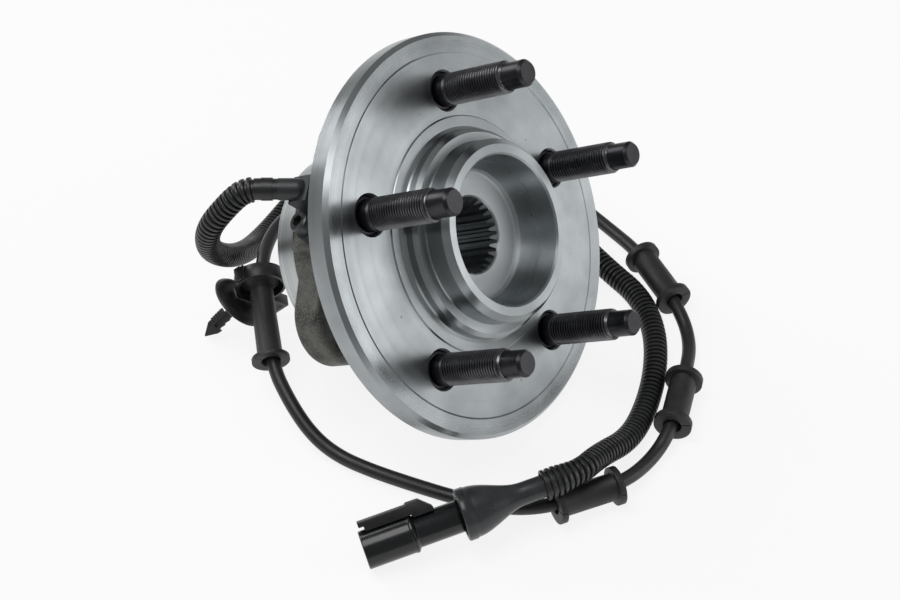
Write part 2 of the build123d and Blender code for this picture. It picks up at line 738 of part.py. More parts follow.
with BuildPart() as sensor_body:
    # Flat foot with a round end for the screw
    with BuildSketch(PAD):
        with BuildLine():
            Polyline(
                (-SENSOR_HEAD_W / 2, -SENSOR_TAB_HALF_W),
                (SENSOR_SCREW_OFFSET, -SENSOR_TAB_END_R),
            )
            RadiusArc(
                (SENSOR_SCREW_OFFSET, -SENSOR_TAB_END_R),
                (SENSOR_SCREW_OFFSET, SENSOR_TAB_END_R),
                -SENSOR_TAB_END_R,
            )
            Polyline(
                (SENSOR_SCREW_OFFSET, SENSOR_TAB_END_R),
                (-SENSOR_HEAD_W / 2, SENSOR_TAB_HALF_W),
                (-SENSOR_HEAD_W / 2, -SENSOR_TAB_HALF_W),
            )
        make_face()
    extrude(amount=SENSOR_TAB_T)
    # Upright block, its rear and outer top edges cut off
    with BuildSketch(PAD_SIDE):
        Polygon(
            (-SENSOR_HEAD_REAR, 0),
            (SENSOR_HEAD_FRONT, 0),
            (SENSOR_HEAD_FRONT, SENSOR_HEAD_H - 0.5),
            (SENSOR_HEAD_FRONT - 0.5, SENSOR_HEAD_H),
            (-SENSOR_HEAD_REAR + SENSOR_HEAD_CHAMFER, SENSOR_HEAD_H),
            (-SENSOR_HEAD_REAR, SENSOR_HEAD_H - SENSOR_HEAD_CHAMFER),
            align=None,
        )
    extrude(amount=SENSOR_HEAD_W / 2, both=True)
    # Round-nosed barrel of the lead outlet and the gusset under it
    with BuildSketch(half_section(LEAD)):
        with BuildLine():
            RadiusArc((0, -LEAD_STUB_R), (LEAD_STUB_R, 0), -LEAD_STUB_R)
            Polyline(
                (LEAD_STUB_R, 0),
                (LEAD_STUB_R, LEAD_STUB_L),
                (0, LEAD_STUB_L),
                (0, -LEAD_STUB_R),
            )
        make_face()
    revolve(axis=Axis(LEAD.origin, LEAD.z_dir))
    with BuildSketch(PAD_SIDE):
        Polygon(
            (0, LEAD_HEIGHT - 2.0),
            (-SENSOR_HEAD_REAR, LEAD_HEIGHT - 3.5),
            (-LEAD_STUB_L - 0.4, LEAD_HEIGHT + 1.6),
            (-LEAD_STUB_L + 2.2, LEAD_HEIGHT + LEAD_STUB_R),
            align=None,
        )
    extrude(amount=GUSSET_T / 2, both=True)
    with BuildSketch(PAD):
        Circle(SENSOR_TIP_R)
    extrude(amount=-TIP_REACH)
    with BuildSketch(PAD.offset(-O_RING_DEPTH)):
        Circle(SENSOR_TIP_R)
        Circle(SENSOR_TIP_R - O_RING_R, mode=Mode.SUBTRACT)
    extrude(amount=-2.2 * O_RING_R, mode=Mode.SUBTRACT)
    with BuildSketch(PAD):
        with Locations((SENSOR_SCREW_OFFSET, 0)):
            Circle(SCREW_R + SCREW_CLEARANCE)
    extrude(amount=SENSOR_TAB_T, mode=Mode.SUBTRACT)
sensor_body.part.label = "sensor_body"

with BuildPart() as sensor_o_ring:
    with BuildSketch(PAD.offset(-O_RING_DEPTH - 0.1)):
        Circle(SENSOR_HOLE_R - 0.05)
        Circle(SENSOR_TIP_R - O_RING_R + 0.05, mode=Mode.SUBTRACT)
    extrude(amount=-2 * O_RING_R)
sensor_o_ring.part.label = "sensor_o_ring"

with BuildPart() as sensor_screw:
    with BuildSketch(PAD.offset(SENSOR_TAB_T)):
        with Locations((SENSOR_SCREW_OFFSET, 0)):
            Circle(SCREW_HEAD_R)
    extrude(amount=SCREW_HEAD_H)
    chamfer(faces().filter_by(PAD).sort_by(Axis(PAD.origin, PAD.z_dir))[-1].edges(), 0.6)
    with BuildSketch(PAD.offset(SENSOR_TAB_T)):
        with Locations((SENSOR_SCREW_OFFSET, 0)):
            Circle(SCREW_R)
    extrude(amount=-SCREW_L)
    with BuildSketch(PAD.offset(SENSOR_TAB_T + SCREW_HEAD_H)):
        with Locations((SENSOR_SCREW_OFFSET, 0)):
            RegularPolygon(SCREW_SOCKET_R, 6)
    extrude(amount=-SCREW_SOCKET_DEPTH, mode=Mode.SUBTRACT)
sensor_screw.part.label = "sensor_screw"

with BuildPart() as lead_overmould:
    with BuildSketch(LEAD.offset(LEAD_STUB_L)):
        Circle(OVERMOULD_R)
    extrude(amount=OVERMOULD_L)
    with BuildSketch(LEAD.offset(LEAD_STUB_L + OVERMOULD_L)):
        Circle(COLLAR_R)
    extrude(amount=COLLAR_L)
lead_overmould.part.label = "lead_overmould"

# --------------------------------------------------------------------------
# Harness: cable, sleeve and conduits
# --------------------------------------------------------------------------


def stretch(first: Vector, last: Vector, a: int, b: int) -> tuple:
    """Path corners and corner radii from first, by points a to b, to last."""
    return [first, *points[a : b + 1], last], route_radii[a - 1 : b]


cable_ends = [0, *cable_splits, len(points) - 1]
corners, radii = stretch(points[0], run_middle(cable_splits[0]), 1, cable_splits[0])
with BuildPart() as cable_sensor_end:
    with BuildLine() as path:
        FilletPolyline(*corners, radius=radii)
    with BuildSketch(Plane(origin=path.wire() @ 0, z_dir=path.wire() % 0)):
        Circle(CABLE_R)
    sweep()
cable_sensor_end.part.label = "cable_sensor_end"
cable_length = path.wire().length

corners, radii = stretch(
    run_middle(cable_splits[0]),
    run_middle(cable_splits[1]),
    cable_splits[0] + 1,
    cable_splits[1],
)
with BuildPart() as cable_middle:
    with BuildLine() as path:
        FilletPolyline(*corners, radius=radii)
    with BuildSketch(Plane(origin=path.wire() @ 0, z_dir=path.wire() % 0)):
        Circle(CABLE_R)
    sweep()
cable_middle.part.label = "cable_middle"
cable_length += path.wire().length

corners, radii = stretch(
    run_middle(cable_splits[1]), points[-1], cable_splits[1] + 1, len(points) - 2
)
with BuildPart() as cable_connector_end:
    with BuildLine() as path:
        FilletPolyline(*corners, radius=radii)
    with BuildSketch(Plane(origin=path.wire() @ 0, z_dir=path.wire() % 0)):
        Circle(CABLE_R)
    sweep()
cable_connector_end.part.label = "cable_connector_end"
cable_length += path.wire().length
cable_volume = (
    cable_sensor_end.part.volume + cable_middle.part.volume + cable_connector_end.part.volume
)
print(f"cable length {cable_length:.1f} volume over section {cable_volume / CABLE_R**2 / 3.14159265:.1f}")

with BuildPart() as lead_sleeve:
    with BuildSketch(LEAD.offset(LEAD_STUB_L + OVERMOULD_L + COLLAR_L)):
        Circle(CABLE_R + 0.3 + SLEEVE_WALL)
        Circle(CABLE_R + 0.3, mode=Mode.SUBTRACT)
    extrude(amount=(run_middle(0) - points[0]).length - 0.1)
lead_sleeve.part.label = "lead_sleeve"

corners, radii = stretch(
    run_middle(conduit_1_span[0]),
    run_middle(conduit_1_span[1]),
    conduit_1_span[0] + 1,
    conduit_1_span[1],
)
with BuildPart() as sensor_conduit:
    with BuildLine() as path:
        FilletPolyline(*corners, radius=radii)
    with BuildSketch(Plane(origin=path.wire() @ 0, z_dir=path.wire() % 0)):
        Circle(CONDUIT_R)
        Circle(CONDUIT_R - CONDUIT_WALL, mode=Mode.SUBTRACT)
    sweep()
sensor_conduit.part.label = "sensor_conduit"

BOOT_DIR = (points[-1] - points[-2]).normalized()
TAIL = points[-1] - BOOT_DIR * BOOT_CABLE_DEPTH
corners, radii = stretch(
    run_middle(conduit_2_first), TAIL - BOOT_DIR * 0.3, conduit_2_first + 1, len(points) - 2
)
with BuildPart() as connector_conduit:
    with BuildLine() as path:
        FilletPolyline(*corners, radius=radii)
    with BuildSketch(Plane(origin=path.wire() @ 0, z_dir=path.wire() % 0)):
        Circle(CONDUIT_R)
        Circle(CONDUIT_R - CONDUIT_WALL, mode=Mode.SUBTRACT)
    sweep()
connector_conduit.part.label = "connector_conduit"

# --------------------------------------------------------------------------
# Grommets on the cable
# --------------------------------------------------------------------------

BORE_R = CABLE_R + GROMMET_BORE_CLEARANCE
BORE_MOUTH_R = CABLE_R + GROMMET_MOUTH_CLEARANCE
BORE_MOUTH_L = 5.5


def grommet_profile(length: float) -> list:
    """Half-section of a spool-shaped grommet as (radius, height) corners."""
    return [
        (BORE_MOUTH_R, 0),
        (GROMMET_FLANGE_R, 0),
        (GROMMET_FLANGE_R, GROMMET_FLANGE_T),
        (GROMMET_SLEEVE_R, GROMMET_FLANGE_T),
        (GROMMET_SLEEVE_R, length - GROMMET_FLANGE_T),
        (GROMMET_FLANGE_R, length - GROMMET_FLANGE_T),
        (GROMMET_FLANGE_R, length),
        (BORE_MOUTH_R, length),
        (BORE_R, length - BORE_MOUTH_L),
        (BORE_R, BORE_MOUTH_L),
    ]


def run_length(i: int) -> float:
    """Length of the run from route point i to the next."""
    return (points[i + 1] - points[i]).length


seat = run_plane(grommet_runs[0], GROMMET_MARGIN)
with BuildPart() as grommet_1:
    with BuildSketch(half_section(seat)):
        Polygon(*grommet_profile(run_length(grommet_runs[0]) - 2 * GROMMET_MARGIN), align=None)
    revolve(axis=Axis(seat.origin, seat.z_dir))
grommet_1.part.label = "grommet_1"

seat = run_plane(grommet_runs[1], GROMMET_MARGIN)
with BuildPart() as grommet_2:
    with BuildSketch(half_section(seat)):
        Polygon(*grommet_profile(run_length(grommet_runs[1]) - 2 * GROMMET_MARGIN), align=None)
    revolve(axis=Axis(seat.origin, seat.z_dir))
grommet_2.part.label = "grommet_2"

seat = run_plane(grommet_runs[2], GROMMET_MARGIN)
with BuildPart() as grommet_3:
    with BuildSketch(half_section(seat)):
        Polygon(*grommet_profile(run_length(grommet_runs[2]) - 2 * GROMMET_MARGIN), align=None)
    revolve(axis=Axis(seat.origin, seat.z_dir))
grommet_3.part.label = "grommet_3"

CLIP = run_plane(clip_run, GROMMET_MARGIN)
CLIP_L = run_length(clip_run) - 2 * GROMMET_MARGIN
with BuildPart() as clip_grommet:
    with BuildSketch(half_section(CLIP)):
        Polygon(
            (BORE_MOUTH_R, 0),
            (CLIP_FLANGE_R, 0),
            (CLIP_FLANGE_R, CLIP_FLANGE_T),
            (CLIP_SLEEVE_R, CLIP_FLANGE_T),
            (CLIP_SLEEVE_R, CLIP_L - DRUM_L - DRUM_NECK_L),
            (CLIP_SLEEVE_R + 1.4, CLIP_L - DRUM_L - DRUM_NECK_L / 2),
            (DRUM_R - 0.5, CLIP_L - DRUM_L),
            (DRUM_R, CLIP_L - DRUM_L + 0.5),
            (DRUM_R, CLIP_L - 0.6),
            (DRUM_R - 0.6, CLIP_L),
            (BORE_MOUTH_R, CLIP_L),
            (BORE_R, CLIP_L - BORE_MOUTH_L),
            (BORE_R, BORE_MOUTH_L),
            align=None,
        )
    revolve(axis=Axis(CLIP.origin, CLIP.z_dir))
clip_grommet.part.label = "clip_grommet"

# Clip: a band round the grommet's drum, with a latch block on one side and a
# stay foot on the other, and a dish and a finned pin below.  The pin slants
# down to the bench on the side away from the hub and leans along the sleeve.
BAND_R_IN = DRUM_R + BAND_CLIP_GAP
BAND_R_OUT = BAND_R_IN + BAND_CLIP_WALL
band_mid = CLIP.origin + CLIP.z_dir * (CLIP_L - BAND_CLIP_W / 2)
pin_square = CLIP.y_dir * sin(radians(PIN_DROP)) - CLIP.x_dir * cos(radians(PIN_DROP))
pin_dir = pin_square * cos(radians(PIN_LEAN)) - CLIP.z_dir * sin(radians(PIN_LEAN))
BAND = Plane(origin=band_mid, x_dir=pin_square, z_dir=CLIP.z_dir)
PIN = Plane(origin=band_mid, x_dir=CLIP.z_dir.cross(pin_dir), z_dir=pin_dir)
DISH_AT = BAND_R_OUT + DISH_NECK

with BuildPart() as fir_tree_clip:
    with BuildSketch(BAND):
        Circle(BAND_R_OUT)
    extrude(amount=BAND_CLIP_W / 2, both=True)
    # Web from the band out to the dish
    with BuildSketch(PIN):
        Rectangle(CLIP_WEB_W, BAND_CLIP_W - 1.0)
    extrude(amount=DISH_AT + 1.0)
    # Latch block where the band closes
    with BuildSketch(BAND):
        Polygon(
            (-LATCH_REAR, BAND_R_IN),
            (LATCH_FRONT, BAND_R_IN),
            (LATCH_FRONT, BAND_R_OUT + LATCH_T),
            (-LATCH_REAR, BAND_R_OUT + LATCH_T),
            align=None,
        )
    extrude(amount=BAND_CLIP_W / 2, both=True)
    # Stay foot out past the band and down to the panel
    with BuildSketch(BAND):
        Polygon(
            (FOOT_FROM, -BAND_R_IN + 1.0),
            (FOOT_FROM, -FOOT_REACH),
            (FOOT_DOWN, -FOOT_REACH),
            (FOOT_DOWN, -FOOT_REACH + FOOT_T),
            (FOOT_FROM + FOOT_T, -FOOT_REACH + FOOT_T),
            (FOOT_FROM + FOOT_T, -BAND_R_IN + 1.0),
            align=None,
        )
    extrude(amount=FOOT_W / 2, both=True)
    with BuildSketch(BAND):
        Circle(BAND_R_IN)
    extrude(amount=BAND_CLIP_W, both=True, mode=Mode.SUBTRACT)
    # Dish, hollow towards the panel
    with BuildSketch(half_section(PIN)):
        with BuildLine():
            Polyline(
                (0, DISH_AT),
                (DISH_R * 0.45, DISH_AT),
                (DISH_R, DISH_AT + DISH_SINK),
                (DISH_R, DISH_AT + DISH_SINK + 0.7),
                (DISH_R * 0.45, DISH_AT + DISH_T),
                (0, DISH_AT + DISH_T),
                (0, DISH_AT),
            )
        make_face()
    revolve(axis=Axis(PIN.origin, PIN.z_dir))
    # Finned pin with a pointed end
    with BuildSketch(half_section(PIN)):
        with BuildLine():
            base = DISH_AT + DISH_T - 0.2
            fins = [(0, base), (PIN_R, base)]
            for i in range(PIN_FINS):
                at = DISH_AT + DISH_T + PIN_FIN_FROM + i * PIN_FIN_PITCH
                fins += [(PIN_R, at), (PIN_FIN_R, at), (PIN_R, at + PIN_FIN_PITCH * 0.62)]
            end = DISH_AT + DISH_T + PIN_L
            fins += [(PIN_R, end - PIN_HEAD_L), (PIN_HEAD_R, end - PIN_HEAD_L), (0.4, end), (0, end)]
            Polyline(*fins, close=True)
        make_face()
    revolve(axis=Axis(PIN.origin, PIN.z_dir))
fir_tree_clip.part.label = "fir_tree_clip"

# --------------------------------------------------------------------------
# Boot and connector
# --------------------------------------------------------------------------

BOOT = Plane(
    origin=TAIL,
    x_dir=(Vector(0, 0, 1) - BOOT_DIR * BOOT_DIR.Z).normalized(),
    z_dir=BOOT_DIR,
)
BOOT_AXIS = Axis(BOOT.origin, BOOT.z_dir)
BOOT_L = BOOT_TAIL_L + BOOT_BELL_L + BOOT_LIP_L
CONNECTOR_AT = BOOT_L - CONNECTOR_IN_BOOT
STEP_AT = CONNECTOR_AT + CONNECTOR_REAR_L
FRONT_AT = STEP_AT + CONNECTOR_FRONT_L

with BuildPart() as connector_boot:
    with BuildSketch(half_section(BOOT)):
        with BuildLine():
            Line((CABLE_R + 0.35, 0), (BOOT_TAIL_R, 0))
            Line((BOOT_TAIL_R, 0), (BOOT_TAIL_R, BOOT_TAIL_L))
            Spline(
                (BOOT_TAIL_R, BOOT_TAIL_L),
                ((BOOT_TAIL_R + BOOT_BELL_R) / 2, BOOT_TAIL_L + BOOT_BELL_L * 0.5),
                (BOOT_BELL_R, BOOT_TAIL_L + BOOT_BELL_L),
                tangents=((0, 1), (0, 1)),
            )
            Polyline(
                (BOOT_BELL_R, BOOT_TAIL_L + BOOT_BELL_L),
                (BOOT_LIP_R, BOOT_TAIL_L + BOOT_BELL_L + 0.5),
                (BOOT_LIP_R, BOOT_L),
                (BOOT_MOUTH_R, BOOT_L),
                (CONNECTOR_REAR_R + CONNECTOR_FIT, BOOT_L - BOOT_MOUTH_DEPTH),
                (CONNECTOR_REAR_R + CONNECTOR_FIT, CONNECTOR_AT),
                (0, CONNECTOR_AT),
                (0, BOOT_CABLE_DEPTH),
                (CABLE_R + 0.35, BOOT_CABLE_DEPTH),
                (CABLE_R + 0.35, 0),
            )
        make_face()
    revolve(axis=BOOT_AXIS)
connector_boot.part.label = "connector_boot"

with BuildPart() as connector_housing:
    with BuildSketch(half_section(BOOT)):
        Polygon(
            (0, CONNECTOR_AT),
            (CONNECTOR_REAR_R, CONNECTOR_AT),
            (CONNECTOR_REAR_R, STEP_AT - 1.2),
            (CONNECTOR_FRONT_R + 0.25, STEP_AT),
            (CONNECTOR_FRONT_R + 0.25, STEP_AT + 1.0),
            (CONNECTOR_FRONT_R, STEP_AT + 1.3),
            (CONNECTOR_FRONT_R, FRONT_AT - 0.4),
            (CONNECTOR_FRONT_R - 0.4, FRONT_AT),
            (CONNECTOR_CAVITY_R, FRONT_AT),
            (CONNECTOR_CAVITY_R, FRONT_AT - CONNECTOR_MOUTH_L),
            (CONNECTOR_INNER_R, FRONT_AT - CONNECTOR_MOUTH_L),
            (CONNECTOR_INNER_R, FRONT_AT - CONNECTOR_CAVITY_L),
            (0, FRONT_AT - CONNECTOR_CAVITY_L),
            align=None,
        )
    revolve(axis=BOOT_AXIS)
connector_housing.part.label = "connector_housing"

lock_out = BOOT.x_dir * cos(radians(LOCK_ANGLE)) + BOOT.y_dir * sin(radians(LOCK_ANGLE))
LOCK = Plane(origin=BOOT.origin, x_dir=BOOT.z_dir, z_dir=BOOT.z_dir.cross(lock_out))
LOCK_REAR = FRONT_AT - 1.0 - LOCK_L

with BuildPart() as connector_lock:
    with BuildSketch(LOCK):
        Polygon(
            (LOCK_REAR, LOCK_FOOT),
            (FRONT_AT - 1.0, LOCK_FOOT),
            (FRONT_AT - 1.0, LOCK_TOP),
            (LOCK_REAR + LOCK_RAMP_L + LOCK_PAD_L + 1.0, LOCK_TOP),
            (LOCK_REAR + LOCK_RAMP_L + LOCK_PAD_L, LOCK_PAD_TOP),
            (LOCK_REAR + LOCK_RAMP_L, LOCK_PAD_TOP),
            (LOCK_REAR, CONNECTOR_REAR_R + 1.2),
            align=None,
        )
    extrude(amount=LOCK_W / 2, both=True)
    with BuildSketch(BOOT.offset(STEP_AT - 1.2 - LOCK_GAP)):
        Circle(CONNECTOR_FRONT_R + 0.25 + LOCK_GAP)
    extrude(amount=CONNECTOR_FRONT_L + 4.0, mode=Mode.SUBTRACT)
    with BuildSketch(BOOT.offset(CONNECTOR_AT)):
        Circle(CONNECTOR_REAR_R + PRESS_GAP)
    extrude(amount=CONNECTOR_REAR_L, mode=Mode.SUBTRACT)
connector_lock.part.label = "connector_lock"

with BuildPart() as connector_terminals:
    with BuildSketch(BOOT.offset(FRONT_AT - CONNECTOR_CAVITY_L)):
        with GridLocations(TERMINAL_PITCH, TERMINAL_PITCH, 1, 2):
            Rectangle(TERMINAL_W, TERMINAL_W)
    extrude(amount=TERMINAL_L)
connector_terminals.part.label = "connector_terminals"

# --------------------------------------------------------------------------
# Write one file for each piece
# --------------------------------------------------------------------------

export_step(hub_flange_spindle.part, "parts/hub_flange_spindle.step")
export_step(wheel_studs.part, "parts/wheel_studs.step")
export_step(inner_ring.part, "parts/inner_ring.step")
export_step(tone_ring.part, "parts/tone_ring.step")
export_step(outboard_slinger.part, "parts/outboard_slinger.step")
export_step(inboard_slinger.part, "parts/inboard_slinger.step")
export_step(outboard_balls.part, "parts/outboard_balls.step")
export_step(inboard_balls.part, "parts/inboard_balls.step")
export_step(outboard_cage.part, "parts/outboard_cage.step")
export_step(inboard_cage.part, "parts/inboard_cage.step")
export_step(outer_ring.part, "parts/outer_ring.step")
export_step(outboard_seal.part, "parts/outboard_seal.step")
export_step(inboard_seal.part, "parts/inboard_seal.step")
export_step(sensor_body.part, "parts/sensor_body.step")
export_step(sensor_o_ring.part, "parts/sensor_o_ring.step")
export_step(sensor_screw.part, "parts/sensor_screw.step")
export_step(lead_overmould.part, "parts/lead_overmould.step")
export_step(lead_sleeve.part, "parts/lead_sleeve.step")
export_step(sensor_conduit.part, "parts/sensor_conduit.step")
export_step(cable_sensor_end.part, "parts/cable_sensor_end.step")
export_step(cable_middle.part, "parts/cable_middle.step")
export_step(cable_connector_end.part, "parts/cable_connector_end.step")
export_step(connector_conduit.part, "parts/connector_conduit.step")
export_step(grommet_1.part, "parts/grommet_1.step")
export_step(grommet_2.part, "parts/grommet_2.step")
export_step(grommet_3.part, "parts/grommet_3.step")
export_step(clip_grommet.part, "parts/clip_grommet.step")
export_step(fir_tree_clip.part, "parts/fir_tree_clip.step")
export_step(connector_boot.part, "parts/connector_boot.step")
export_step(connector_housing.part, "parts/connector_housing.step")
export_step(connector_lock.part, "parts/connector_lock.step")
export_step(connector_terminals.part, "parts/connector_terminals.step")
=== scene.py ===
"""Studio model of a flanged wheel hub bearing with its speed sensor and harness.

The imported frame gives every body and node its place.  The classes below turn
and mould the visible pieces round it, in metres, Z up, bench top at Z = 0.
"""

import logging
import math
from dataclasses import dataclass, field
from enum import Enum
from typing import Iterable, Sequence

import bpy
from mathutils import Matrix, Vector


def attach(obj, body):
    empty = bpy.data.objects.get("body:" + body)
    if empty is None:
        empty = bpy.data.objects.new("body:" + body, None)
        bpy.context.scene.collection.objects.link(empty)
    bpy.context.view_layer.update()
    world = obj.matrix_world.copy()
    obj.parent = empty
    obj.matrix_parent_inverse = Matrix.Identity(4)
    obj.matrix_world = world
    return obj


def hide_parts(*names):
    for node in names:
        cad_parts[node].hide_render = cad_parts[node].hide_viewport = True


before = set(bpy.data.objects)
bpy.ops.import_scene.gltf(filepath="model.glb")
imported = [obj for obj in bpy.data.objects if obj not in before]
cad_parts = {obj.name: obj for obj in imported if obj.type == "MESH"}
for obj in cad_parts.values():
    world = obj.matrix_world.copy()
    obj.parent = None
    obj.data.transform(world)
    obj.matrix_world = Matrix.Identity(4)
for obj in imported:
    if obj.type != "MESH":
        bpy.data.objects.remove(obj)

LOG = logging.getLogger("hub_bearing")
MM = 0.001
TOUCH = 1e-6  # points nearer than this, in metres, are one
Point = tuple[float, float, float]
Outline = Sequence[tuple[float, float]]


class Body(Enum):
    """Bodies of the mechanism that a piece can ride on."""

    STATOR = "stator"
    ROTOR = "rotor"


# --------------------------------------------------------------------------
# Work frames
# --------------------------------------------------------------------------


@dataclass(frozen=True)
class Seat:
    """A work frame in the row frame: an origin and two axes, origin in metres."""

    origin: Vector
    x_dir: Vector
    z_dir: Vector

    def matrix(self) -> Matrix:
        """Return the matrix that takes a piece from the work frame to its place.

        Returns:
            The four by four matrix, its axes squared up to Z.
        """
        z = self.z_dir.normalized()
        x = (self.x_dir - z * self.x_dir.dot(z)).normalized()
        y = z.cross(x)
        return Matrix(
            (
                (x.x, y.x, z.x, self.origin.x),
                (x.y, y.y, z.y, self.origin.y),
                (x.z, y.z, z.z, self.origin.z),
                (0.0, 0.0, 0.0, 1.0),
            )
        )

    def along(self, height: float) -> "Seat":
        """Return the same frame moved along its own Z by a height in metres."""
        return Seat(self.origin + self.z_dir.normalized() * height, self.x_dir, self.z_dir)


@dataclass(frozen=True)
class Stance:
    """How the hub leans on the bench, from the radii that touch it (mm)."""

    flange_r: float = 80.0
    flange_edge_h: float = -9.2
    barrel_r: float = 41.3
    barrel_edge_h: float = -69.2
    face_y: float = -6.18

    def lean(self) -> float:
        """Return the angle between the wheel face and the vertical, in radians."""
        rise = self.flange_edge_h - self.barrel_edge_h
        return math.pi / 2 - math.atan2(rise, self.flange_r - self.barrel_r)

    def seat(self) -> Seat:
        """Work out where the wheel face stands.

        Returns:
            The frame of the wheel face, Z out along the spin axis.
        """
        lean = self.lean()
        height = self.flange_r * math.cos(lean) - self.flange_edge_h * math.sin(lean)
        axis = Vector((0.0, -math.cos(lean), math.sin(lean)))
        origin = Vector((0.0, self.face_y, height)) * MM
        return Seat(origin, Vector((1.0, 0.0, 0.0)), axis)


HUB = Stance().seat()

# --------------------------------------------------------------------------
# Modelling by operators
# --------------------------------------------------------------------------


def deselect() -> None:
    """Leave edit mode and clear the selection."""
    if bpy.context.object and bpy.context.object.mode != "OBJECT":
        bpy.ops.object.mode_set(mode="OBJECT")
    bpy.ops.object.select_all(action="DESELECT")


def select_only(piece: bpy.types.Object) -> None:
    """Select one object and make it active.

    Args:
        piece: The object.
    """
    deselect()
    piece.select_set(True)
    bpy.context.view_layer.objects.active = piece


def draw_edge(name: str, corners: Sequence[Vector]) -> bpy.types.Object:
    """Start a piece as one run of edges, and leave it in edit mode.

    Args:
        name: Name of the new piece.
        corners: Points of the run in metres, in order.

    Returns:
        The piece, in edit mode, with its last point selected.
    """
    deselect()
    bpy.ops.mesh.primitive_plane_add(size=MM)
    piece = bpy.context.object
    piece.name = name
    piece.data.name = name
    bpy.ops.object.mode_set(mode="EDIT")
    bpy.ops.mesh.select_all(action="SELECT")
    bpy.ops.mesh.merge(type="CENTER")
    bpy.ops.transform.translate(value=corners[0])
    for before, after in zip(corners, corners[1:]):
        bpy.ops.mesh.extrude_region_move(TRANSFORM_OT_translate={"value": after - before})
    return piece


def lathe(name: str, outline: Outline, steps: int = 96, closed: bool = False) -> bpy.types.Object:
    """Turn an outline round local Z, as on a lathe.

    Args:
        name: Name of the new piece.
        outline: (radius, height) corners in millimetres.
        steps: Number of faces round the axis.
        closed: True if the outline ends where it starts.

    Returns:
        The turned piece, still in its work frame.
    """
    corners = [Vector((r * MM, 0.0, h * MM)) for r, h in outline]
    if closed:
        corners.append(corners[0])
    piece = draw_edge(name, corners)
    bpy.ops.mesh.select_all(action="SELECT")
    bpy.ops.mesh.remove_doubles(threshold=TOUCH / 10)
    bpy.ops.mesh.spin(
        steps=steps, angle=2 * math.pi, center=(0.0, 0.0, 0.0), axis=(0.0, 0.0, 1.0)
    )
    bpy.ops.mesh.select_all(action="SELECT")
    bpy.ops.mesh.remove_doubles(threshold=TOUCH)
    bpy.ops.mesh.normals_make_consistent(inside=False)
    bpy.ops.object.mode_set(mode="OBJECT")
    return piece


def block(name: str, low: Point, high: Point) -> bpy.types.Object:
    """Make a box, for cutting or joining.

    Args:
        name: Name of the new piece.
        low: Lowest corner in millimetres.
        high: Highest corner in millimetres.

    Returns:
        The box, still in its work frame.
    """
    deselect()
    size = [b - a for a, b in zip(low, high)]
    middle = [(a + b) / 2 * MM for a, b in zip(low, high)]
    bpy.ops.mesh.primitive_cube_add(size=1.0, location=middle)
    piece = bpy.context.object
    piece.name = name
    piece.scale = [s * MM for s in size]
    bpy.ops.object.transform_apply(location=True, rotation=True, scale=True)
    return piece


def prism(name: str, outline: Outline, low: float, high: float) -> bpy.types.Object:
    """Extrude a flat outline along local Z.

    Args:
        name: Name of the new piece.
        outline: (x, y) corners in millimetres, in order.
        low: Lower height in millimetres.
        high: Upper height in millimetres.

    Returns:
        The extruded piece, still in its work frame.
    """
    corners = [Vector((x * MM, y * MM, low * MM)) for x, y in outline]
    piece = draw_edge(name, [*corners, corners[0]])
    bpy.ops.mesh.select_all(action="SELECT")
    bpy.ops.mesh.remove_doubles(threshold=TOUCH / 10)
    bpy.ops.mesh.edge_face_add()
    bpy.ops.mesh.extrude_region_move(
        TRANSFORM_OT_translate={"value": (0.0, 0.0, (high - low) * MM)}
    )
    bpy.ops.mesh.select_all(action="SELECT")
    bpy.ops.mesh.normals_make_consistent(inside=False)
    bpy.ops.object.mode_set(mode="OBJECT")
    return piece


def modify(piece: bpy.types.Object, kind: str, **settings: object) -> None:
    """Add one modifier to a piece and apply it.

    Args:
        piece: The piece.
        kind: Blender's name of the modifier.
        settings: Properties of the modifier.
    """
    select_only(piece)
    bpy.ops.object.modifier_add(type=kind)
    modifier = piece.modifiers[-1]
    for key, value in settings.items():
        setattr(modifier, key, value)
    bpy.ops.object.modifier_apply(modifier=modifier.name)


def soften(piece: bpy.types.Object, width: float, segments: int = 2, angle: float = 30.0) -> None:
    """Round the sharp edges of a piece.

    Args:
        piece: The piece.
        width: Width of the rounding in millimetres.
        segments: Number of faces across it.
        angle: Angle in degrees over which an edge is sharp.
    """
    modify(
        piece,
        "BEVEL",
        width=width * MM,
        segments=segments,
        limit_method="ANGLE",
        angle_limit=math.radians(angle),
        use_clamp_overlap=True,
    )


def cut(piece: bpy.types.Object, tool: bpy.types.Object) -> None:
    """Cut a tool out of a piece and throw the tool away."""
    modify(piece, "BOOLEAN", object=tool, operation="DIFFERENCE", solver="EXACT")
    bpy.data.objects.remove(tool)


def join(pieces: Sequence[bpy.types.Object]) -> bpy.types.Object:
    """Join loose pieces into one.

    Args:
        pieces: The pieces, of which the first is kept.

    Returns:
        The joined piece.
    """
    deselect()
    for piece in pieces:
        piece.select_set(True)
    bpy.context.view_layer.objects.active = pieces[0]
    bpy.ops.object.join()
    return pieces[0]


def place(piece: bpy.types.Object, matrix: Matrix) -> bpy.types.Object:
    """Move a piece and bake its place into its mesh.

    Args:
        piece: The piece.
        matrix: Where it goes.

    Returns:
        The same piece.
    """
    select_only(piece)
    piece.matrix_world = matrix @ piece.matrix_world
    bpy.ops.object.transform_apply(location=True, rotation=True, scale=True)
    return piece


def turn_piece(piece: bpy.types.Object, angle: float, axis: str = "Z") -> bpy.types.Object:
    """Turn a piece round an axis of its work frame by an angle in degrees."""
    return place(piece, Matrix.Rotation(math.radians(angle), 4, axis))


def shift_piece(piece: bpy.types.Object, *offset: float) -> bpy.types.Object:
    """Move a piece in its work frame by three offsets in millimetres."""
    return place(piece, Matrix.Translation(Vector(offset) * MM))


